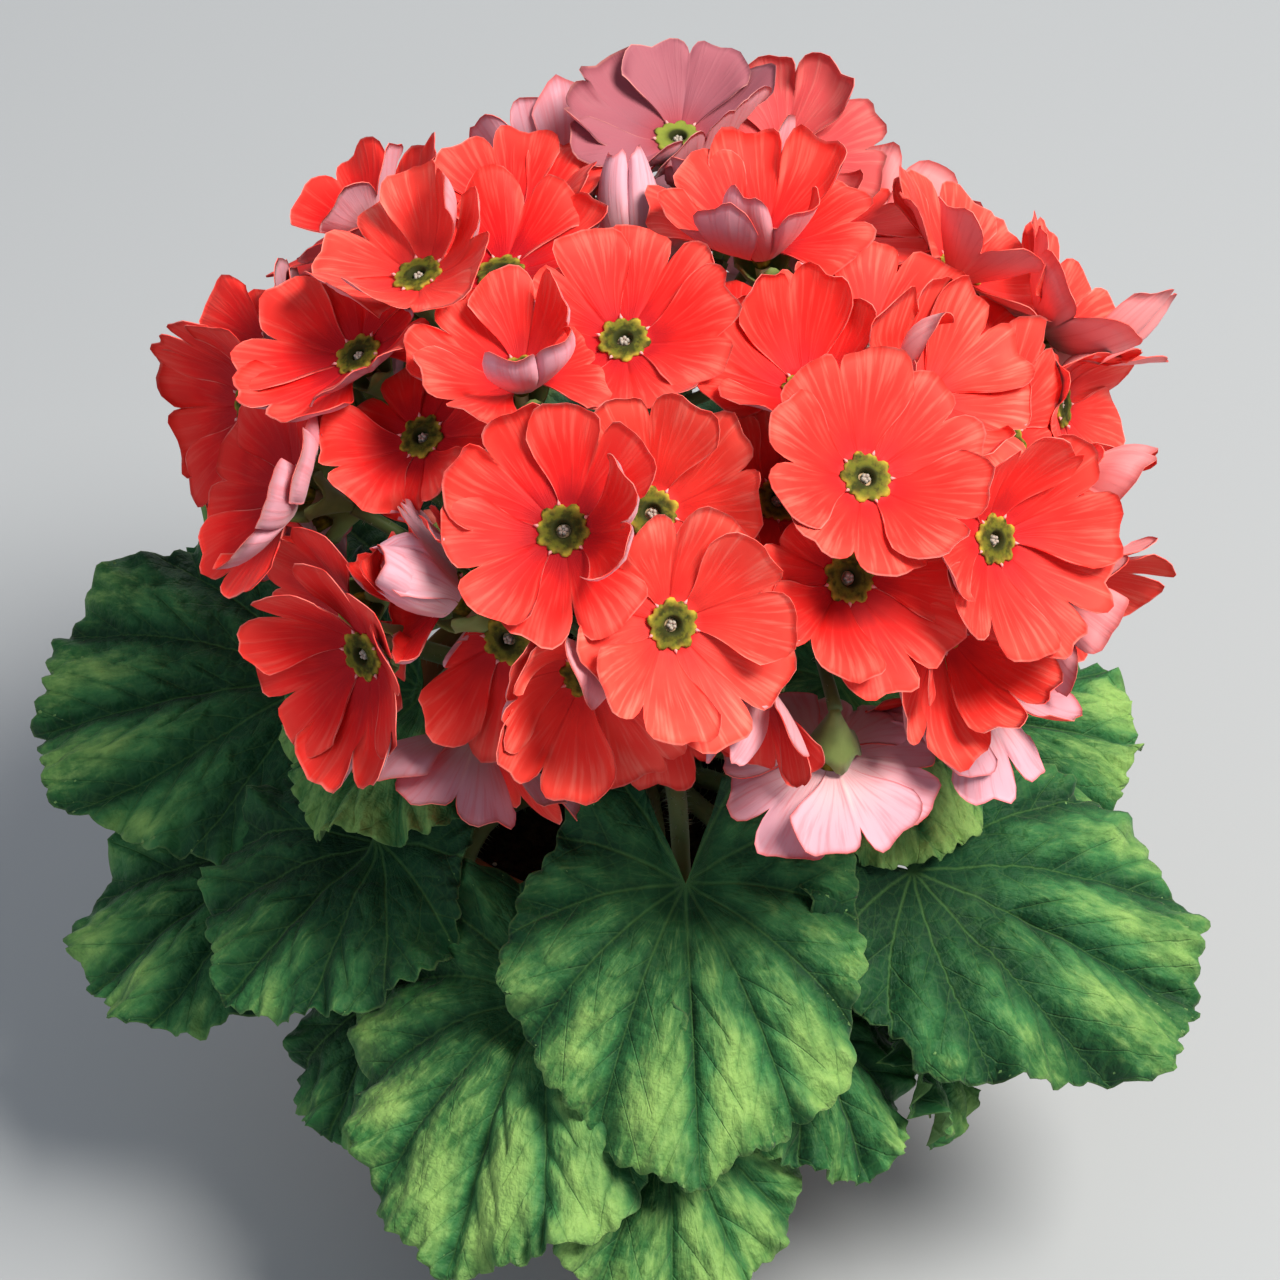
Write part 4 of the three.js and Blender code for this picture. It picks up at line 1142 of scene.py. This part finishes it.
def build_umbel(order, name, top, foot_turn):
    piece = Piece()
    top = np.array(top, float)
    foot = np.zeros(3) if foot_turn is None else heading(foot_turn) * STALK["foot_ring"]
    foot[2] = CROWN["top"] - STALK["sunk"]
    knee = foot * (UMBEL["knee_out"], UMBEL["knee_out"], 1) + UP * UMBEL["knee_rise"]
    t = np.linspace(0, 1, UMBEL["steps"])[:, None]
    scape = foot * (1 - t) ** 2 + 2 * knee * t * (1 - t) + top * t**2
    radii = np.linspace(STALK["foot_radius"], STALK["top_radius"], UMBEL["steps"])
    add_tube(piece, scape, radii, UMBEL["sides"], STEM)
    add_hairs(piece, scape, radii, *HAIRS["stalk"], 50 + order)
    add_bead(piece, top, UP, 3.2, 2.8, STEM)
    for bloom in blooms:
        if umbel_of(bloom) == name:
            add_pedicel(piece, top, bloom)
    outward = UP if foot_turn is None else unit(np.array([top[0], top[1], 60.0]))
    for i in range(UMBEL["bracts"]):
        way = unit(turned(unit(outward + heading(40 * i) * 1.1), outward, 7 * i))
        add_bract(piece, top + way * 2.2, way, 5 + 3 * chance(i, 44 + order))
    for i in range(UMBEL["buds"]):
        way = unit(outward + 0.55 * heading(90 * i + 60 * chance(i, 47 + order)))
        add_bud(piece, top, way, 10 * order + i)
    piece.build(f"umbel_{name}", STALK_MATERIALS, [f"stalk_{name}"])


for order, (name, (top, foot_turn)) in enumerate(UMBELS.items()):
    build_umbel(order, name, top, foot_turn)


# Leaves

# Each leaf: the azimuth, reach and height of the foot of its blade, its yaw, pitch and roll, its length and
# width, its age, and how much painted light its green takes, high for a leaf in light and low for one in
# painted shade. The small right leaf is larger than in the part, as the photo shows it.
LEAVES = [
    ["leaf_front", 7, 66, 127, 4, 38, 0, 84, 74, 2, 0.55],
    ["leaf_front_left", -16, 76, 101, -26, 34, -4, 82, 74, 1, 0.62],
    ["leaf_front_low", 3, 92, 80, 4, 33, 8, 56, 56, 0, 0.7],
    ["leaf_front_right_low", 23, 77, 92, 36, 36, 6, 54, 46, 0, 0.3],
    ["leaf_right_front", 45, 72, 113, 76, 20, -20, 96, 75, 1, 0.3],
    ["leaf_right_small", 62, 45, 142, 34, 30, -4, 61, 56.12, 2, 0.75],
    ["leaf_right_curled", 42, 84, 87, 32, 42, 46, 46, 30, 0, 0.4],
    ["leaf_right", 84, 62, 112, 92, 8, -14, 62, 56, 0, 0.5],
    ["leaf_right_back", 112, 50, 138, 112, 12, -4, 82, 68, 2, 0.4],
    ["leaf_left", -84, 66, 125, -86, 8, 28, 88, 78, 1, 0.22],
    ["leaf_left_front", -50, 70, 116, -52, 24, 8, 62, 58, 1, 0.14],
    ["leaf_left_low", -68, 80, 97, -68, 22, 10, 74, 60, 0, 0.26],
    ["leaf_left_narrow", -42, 77, 84, -42, 44, 2, 54, 40, 0, 0.15],
    ["leaf_left_small", -62, 52, 141, -40, 27, 0, 51, 51, 2, 0.65],
    ["leaf_left_back", -115, 56, 130, -112, 7, 4, 76, 56, 1, 0.4],
    ["leaf_back_left", -149, 44, 125, -148, 15, 0, 88, 68, 0, 0.4],
    ["leaf_back", 194, 37, 141, 188, 11, -2, 94, 76, 2, 0.4],
    ["leaf_back_right", 145, 44, 122, 148, 20, 0, 90, 76, 0, 0.4],
]
# The height at which a leaf of each age leaves the crown.
ROOTS = [94, 103, 111]
BLADE = {
    "rings": 21,
    "sides": 208,
    "joint": 0.08,
    "middle": 0.3,
    "waves": 12,
    "lobes": 0.04,
    "teeth": 0.025,
    "wave": 0.03,
    "ruffle": 0.9,
    "droop": 0.16,
    "curl": 0.5,
    "valley": 0.1,
    "ribs": 46,
    "rib_depth": 2.9,
    "notch_depth": 0.56,
    "notch_half": 12 * DEG,
    "stalk_end": 0.42,
}


# The blade's own axes: along its midrib, to its side, and out of its upper face.
def blade_axes(azimuth, reach, height, yaw, pitch, roll):
    level = heading(yaw)
    c = math.cos(pitch * DEG)
    s = math.sin(pitch * DEG)
    along = level * c - UP * s
    face = turned(level * s + UP * c, along, -roll)
    origin = heading(azimuth) * reach
    origin[2] = height
    return origin, along, np.cross(along, face), face


# The lift of the blade out of its flat plane at a along and b to the side; share is 1 at the edge.
def blade_lift(a, b, share, length, width, index):
    turn = np.arctan2(b, a - BLADE["middle"] * length)
    wave = BLADE["wave"] * length * share**2 * np.sin(4 * turn + TURN * chance(index, 1))
    near_edge = ramp(share, 0.72, 0.28)
    ruffle = BLADE["ruffle"] * np.cos(BLADE["waves"] * turn) * near_edge**1.5
    ruffle = ruffle + 0.6 * np.sin(29 * turn + 5 * chance(index, 8)) * near_edge**2
    ruffle = ruffle + 2.6 * np.sin(8 * turn + 6 * chance(index, 7)) * ramp(share, 0.5, 0.5) ** 1.5
    ruffle = ruffle + 1.5 * np.sin(17 * turn + 6 * chance(index, 5)) * near_edge
    arch = BLADE["droop"] * a * a / length + BLADE["curl"] * b * b / width
    ribs = 0.95 * np.sin(BLADE["ribs"] * turn + 5 * np.sin(3 * turn)) * ramp(share, 0.76, 0.24)
    joint = BLADE["joint"] * length
    pit = -6.5 * np.exp(-((np.hypot(a - joint, b) / (0.2 * length)) ** 2))
    lobes = 0.2 * np.maximum(0, joint - a) ** 1.2
    valley = BLADE["valley"] * (np.sqrt(b * b + 4) - 2)
    return valley - arch + wave + ruffle + ribs + pit + lobes + PETIOLE_RADIUS - 1.1


# Ridges between the veins and grooves on them, which fan out from the stalk as the leaf's colours do.
def blade_relief(a, b, share, length):
    a = a - BLADE["joint"] * length
    reach = np.sqrt(a * a + b * b)
    turn = np.arctan2(b, a)
    order = (turn + reach * VEIN["curve"] * np.sin(turn)) / VEIN["turn"]
    beside = order - np.round(order)
    away = np.abs(beside) * VEIN["turn"] * reach
    groove = -1.2 * np.exp(-((away / 1.4) ** 2)) * smooth(reach / 22) * (1 - 0.4 * share**4)
    pleat = np.clip(1 - 2 * np.abs(beside), 0, 1)
    groove = groove - 0.085 * reach * pleat**1.5 * smooth(reach / 26)
    branch = (reach - VEIN["slant"] * away) / VEIN["step"] + VEIN["shift"] * np.sign(beside)
    near = np.abs(branch - np.floor(branch) - 0.5)
    quilt = -0.95 * np.exp(-(((0.5 - near) / 0.12) ** 2))
    return groove + quilt * smooth((reach - 8) / 12) * smooth(away / 2.4)


# A smooth path through the points.
def catmull_rom(points, steps):
    path = []
    ends = [2 * points[0] - points[1], *points, 2 * points[-1] - points[-2]]
    for i in range(len(points) - 1):
        p0, p1, p2, p3 = ends[i : i + 4]
        for step in range(steps):
            t = step / steps
            bend = (2 * p0 - 5 * p1 + 4 * p2 - p3) * t**2
            twist = (3 * p1 - p0 - 3 * p2 + p3) * t**3
            path.append(0.5 * (2 * p1 + (p2 - p0) * t + bend + twist))
    path.append(points[-1])
    return np.array(path)


def add_blade(piece, axes, length, width, index, painted_leaf_light):
    origin, along, side, face = axes
    rings = BLADE["rings"]
    sides = BLADE["sides"]
    turns = np.linspace(0, TURN, sides, endpoint=False)
    turn, share = np.meshgrid(turns, (np.arange(1, rings + 1) / rings) ** 0.85)

    # The outline: a heart with lobes, scalloped teeth and a few cuts.
    notch = np.clip(1 - np.abs(turn - math.pi) / BLADE["notch_half"], 0, 1)
    near_edge = ramp(share, 0.7, 0.3)
    teeth = BLADE["teeth"] * np.cos(BLADE["waves"] * turn) * near_edge
    scallop = np.abs(np.sin(0.5 * BLADE["ribs"] * turn + 3 * chance(index, 9)))
    teeth = teeth + 0.032 * (scallop - 0.6) * near_edge**3
    teeth = teeth + 0.02 * np.sin(7 * turn + 6 * chance(index, 3)) * share**2
    for cut in range(7):
        away = np.abs(turn - TURN * (cut + chance(index, 80 + cut)) / 7)
        teeth = teeth - 0.05 * chance(index, 90 + cut) * np.exp(-away / 0.035) * near_edge**2
    swell = 1 + BLADE["lobes"] * np.sin(5 * turn + TURN * chance(index, 2)) + teeth
    heart = 1 - BLADE["notch_depth"] * notch**0.85
    a = length * (BLADE["middle"] + 0.5 * np.cos(turn) * heart * swell * share)
    b = 0.5 * width * np.sin(turn) * (1 - 0.1 * np.cos(turn)) * swell * share
    a = np.append(BLADE["middle"] * length, a)
    b = np.append(0.0, b)
    share = np.append(0.0, share)

    flat = np.stack([a, b, np.full(len(a), 31.0 * index)], axis=1)
    relief = blade_relief(a, b, share, length) + 1.1 * noise_at(flat, 7.0) + 0.5 * noise_at(flat, 2.6, 3.0)
    lift = blade_lift(a, b, share, length, width, index) + relief
    upper = origin + np.outer(a, along) + np.outer(b, side) + np.outer(lift, face)
    lower = upper - np.outer(LEAF_THICKNESS * (1 - 0.5 * share**3), face)
    n = len(upper)
    pairs = neighbours(list(range(sides)))
    faces = []
    for start, flip in ((0, True), (n, False)):
        fan = [[start, start + 1 + i, start + 1 + j] for i, j in pairs]
        faces += [corner[::-1] for corner in fan] if flip else fan
        faces += grid_faces(rings, sides, wrapped=True, start=start + 1, flip=not flip)
    half = len(faces) // 2
    rim = n - sides
    faces += [[rim + i, rim + j, rim + j + n, rim + i + n] for i, j in pairs]
    slots = [UPPER] * half + [LOWER] * half + [UPPER] * sides
    a = a - BLADE["joint"] * length
    places = np.stack([a / BLADE_MAP + 0.5, b / BLADE_MAP + 0.5], axis=1)
    places = np.vstack([places, places])
    piece.add(np.vstack([upper, lower]), faces, slots, places, (painted_leaf_light, 0.0, chance(index, 4)))

    # Painted light and shade: ridges and the far end are lighter and furrows darker, and the rim knows that
    # it is one.
    height = relief + 0.055 * np.hypot(a, b)
    shade = painted_leaf_light + 0.2 * height + 0.75 * (a / length + BLADE["joint"] - 0.42) - 0.1
    tones = piece.tones[-1]
    tones[:, 0] = np.tile(np.clip(shade, 0, 1), 2)
    tones[:, 1] = np.tile(share, 2)


# The leaf's stalk, which goes on under the blade as its midrib.
def add_petiole(piece, axes, azimuth, reach, height, length, width, age, index):
    origin, along, _, face = axes
    out = heading(azimuth)
    root = ROOTS[age]
    crest = max(107, height + 4) if reach > 52 else height - 5

    def rib(a):
        held = max(a, BLADE["joint"] * length)
        flat = [np.array(float(x)) for x in (held, 0, 0)]
        lift = float(blade_lift(*flat, length, width, index) + blade_relief(*flat, length))
        return origin + a * along + (lift - BLADE["rib_depth"] - 0.3 * (held - a)) * face

    stations = [
        out * (CROWN["radius"] - 0.5) + UP * root,
        out * (CROWN["radius"] + 12) + UP * (root + 0.35 * (crest - root) + 2),
        out * min(52, 0.8 * reach) + UP * crest,
        rib(-2),
    ]
    path = catmull_rom(stations + [rib(share * length) for share in (0.2, 0.35, 0.5, 0.66)], 6)
    share = np.linspace(0, 1, len(path))
    end = BLADE["stalk_end"]
    radii = PETIOLE_RADIUS * np.interp(share, [0, end, 0.5, 0.6, 1], [1.1, 0.95, 0.8, 0.5, 0.12])
    add_tube(piece, path, radii, 12, PETIOLE)
    add_hairs(piece, path[: int(end * len(path))], radii, *HAIRS["petiole"], 100 + 4 * index)


for index, (name, azimuth, reach, height, yaw, pitch, roll, length, width, age, painted_leaf_light) in enumerate(LEAVES):
    piece = Piece()
    axes = blade_axes(azimuth, reach, height, yaw, pitch, roll)
    add_blade(piece, axes, length, width, index, painted_leaf_light)
    add_petiole(piece, axes, azimuth, reach, height, length, width, age, index)
    piece.build(name.replace("leaf", "foliage"), LEAF_MATERIALS, [name])


# Crown, soil and pot


# The crown's radius and height at each ring, from its foot up.
CROWN_RINGS = [(12.6, 80), (CROWN["radius"], 86), (12.8, 92), (12.9, 98)]
CROWN_RINGS += [(12.6, 104), (11.8, 109), (9.5, 112.4), (5, CROWN["top"])]


def build_crown():
    piece = Piece()

    def shape(radius, turn, j):
        return radius - 0.4 + (0.35 * math.cos(9 * turn + 0.8 * j) + 0.2 * math.cos(17 * turn + j))

    add_turned(piece, np.zeros(3), UP, CROWN_RINGS, 54, 0, shape)
    piece.build("crown_top", ["crown"], ["crown"])


# The soil's rough top, heaped a little at the crown, with crumbs and a few white grains on it.
def build_soil():
    piece = Piece()
    edge = POT["rim"] - POT["wall"] - 2.4
    inner = CROWN["radius"] + 0.3
    rings = SOIL["rings"]
    sides = SOIL["sides"]

    def heap(radius):
        return SOIL["heap"] * float(smooth(1 - (radius - inner) / SOIL["heap_width"]))

    points = []
    for j in range(rings):
        radius = inner + (edge - inner) * j / (rings - 1)
        for turn in circle(sides):
            x, y, level = round_axis(radius, turn, SOIL["top"] - 1.1)
            rough = 0.9 * noise.noise(Vector((x, y, 3)) / 3.2) + 0.7 * noise.noise(Vector((x, y, 9)) / 9)
            points.append([x, y, level + heap(radius) + rough])
    for radius in (edge - 2, inner):
        points += [round_axis(radius, turn, SOIL["foot"]) for turn in circle(sides)]
    last = (rings + 1) * sides
    faces = grid_faces(rings + 2, sides, wrapped=True)
    faces += [[last + i, last + j, j, i] for i, j in neighbours(list(range(sides)))]
    piece.add(points, faces, 0)
    for i in range(SOIL["crumbs"]):
        radius = inner + 1 + (edge - inner - 3) * math.sqrt(chance(i, 71))
        size = 0.5 + 1.2 * chance(i, 72) ** 2
        centre = heading(360 * chance(i, 70)) * radius
        centre[2] = SOIL["top"] - 0.6 + heap(radius)
        axis = unit(np.array([chance(i, 73) - 0.5, chance(i, 74) - 0.5, 0.6]))
        add_bead(piece, centre, axis, size, size * 0.75, 1 if chance(i, 75) > 0.965 else 0)
    piece.build("soil_surface", ["soil", "perlite"], ["soil"])


# The pot's outline as (radius, height), up its outside, over the rim and down its inside.
def pot_outline():
    base, band, rim, wall = (POT[key] for key in ("base", "band", "rim", "wall"))
    floor = POT["floor"]
    top = POT["height"]
    ledge = top - POT["band_height"]
    inside = base - wall + 1
    outline = [(base - 2.2, 0.0), (base - 0.7, 0.4), (base + 0.1, 1.8)]
    outline += [(base + (band - base) * s, 2 + (ledge - 3.4) * s) for s in np.linspace(0.04, 1, 16)]
    outline += [(band + 0.6, ledge - 0.5), (rim - 2.2, ledge - 0.1)]
    outline += [(rim - 1.1, ledge + 0.8), (rim - 0.8, ledge + 2.2)]
    outline += [(rim - 0.8 + 0.8 * s, ledge + 2.2 + (top - 4.4 - ledge) * s) for s in np.linspace(0.2, 1, 5)]
    outline += [(rim - 0.3, top - 1.0), (rim - 1.2, top - 0.15), (rim - 2.4, top), (rim - 3.6, top - 0.2)]
    outline += [(rim - wall - 0.1, top - 1.2), (rim - wall - 0.7, top - 3)]
    for s in np.linspace(0.96, 0.04, 10):
        outline.append((inside + (rim - wall - 1 - inside) * s, floor + (top - 5 - floor) * s))
    return outline + [(inside - 1.5, floor)]


def build_pot():
    piece = Piece()
    rows = []
    for radius, height in pot_outline():
        row = []
        for turn in circle(144):
            wobble = 0.12 * math.sin(3 * turn + height / 19) + 0.06 * math.sin(7 * turn - height / 7)
            row.append(round_axis(radius + (wobble if 5 < height < 96 else 0), turn, height))
        rows.append(row)
    piece.add_rings(rows, 0)
    pot = piece.build("clay_pot", ["clay"], ["pot"])
    for i in range(DRAIN["count"]):
        drill(pot, heading(45 + 360 * i / DRAIN["count"]) * DRAIN["ring"])


# Cuts one drain hole through the pot's floor.
def drill(pot, centre):
    ring = []
    for height in (-4.0, POT["floor"] + 4.0):
        ring += [centre + round_axis(DRAIN["radius"], turn, height) for turn in circle(DRAIN["sides"])]
    mesh = bpy.data.meshes.new("cutter")
    mesh.from_pydata((np.array(ring) * MM).tolist(), [], ring_faces(2, DRAIN["sides"]))
    cutter = link_object("cutter", mesh)
    cut = pot.modifiers.new("drain", "BOOLEAN")
    cut.operation = "DIFFERENCE"
    cut.solver = "EXACT"
    cut.object = cutter
    bpy.context.view_layer.objects.active = pot
    bpy.ops.object.modifier_apply(modifier="drain")
    bpy.data.objects.remove(cutter)


build_crown()
build_soil()
build_pot()


# Stage


# Turns a light or the camera to look along a way.
def aim(thing, place, way):
    thing.location = place
    thing.rotation_mode = "QUATERNION"
    thing.rotation_quaternion = way.to_track_quat("-Z", "Y")


def add_light(name, place, target, energy, size, colour):
    data = bpy.data.lights.new(name, "AREA")
    data.energy = energy
    data.color = colour
    data.shape = "DISK"
    data.size = size
    aim(link_object(name, data), place, Vector(target) - Vector(place))


def build_stage():
    mesh = bpy.data.meshes.new("floor")
    half = 4.0
    corners = [(-half, -half, 0), (half, -half, 0), (half, half, 0), (-half, half, 0)]
    mesh.from_pydata(corners, [], [[0, 1, 2, 3]])
    mesh.materials.append(Nodes("floor").finish((0.40, 0.42, 0.44), 0.8))
    floor = link_object("floor", mesh)
    world = bpy.data.worlds.new("soft_sky")
    world.use_nodes = True
    sky = world.node_tree.nodes["Background"]
    sky.inputs["Color"].default_value = (0.80, 0.88, 1.0, 1)
    sky.inputs["Strength"].default_value = 0.32
    bpy.context.scene.world = world
    add_light("sun_side", (0.78, -0.42, 1.55), (0, 0, 0.15), 45, 0.75, (1.0, 0.95, 0.87))
    add_light("fill", (-1.1, -0.9, 0.8), (0, 0, 0.13), 3.6, 1.4, (0.86, 0.92, 1.0))
    add_light("back", (0.1, 1.3, 0.9), (0, 0, 0.15), 5, 0.9, (1.0, 0.97, 0.93))


# The camera at the photo's angle and scale.
def build_camera():
    data = bpy.data.cameras.new("camera")
    camera = link_object("camera", data)
    bpy.context.scene.camera = camera
    back = Vector(FRONT)
    aim(camera, (Vector(VIEW["target"]) + back * VIEW["distance"]) * MM, -back)
    data.sensor_width = SENSOR
    data.lens = VIEW["scale"] * VIEW["distance"] * SENSOR / (2 * VIEW["middle"])
    bpy.context.scene.view_settings.view_transform = "Standard"


build_stage()
build_camera()

bpy.context.view_layer.update()
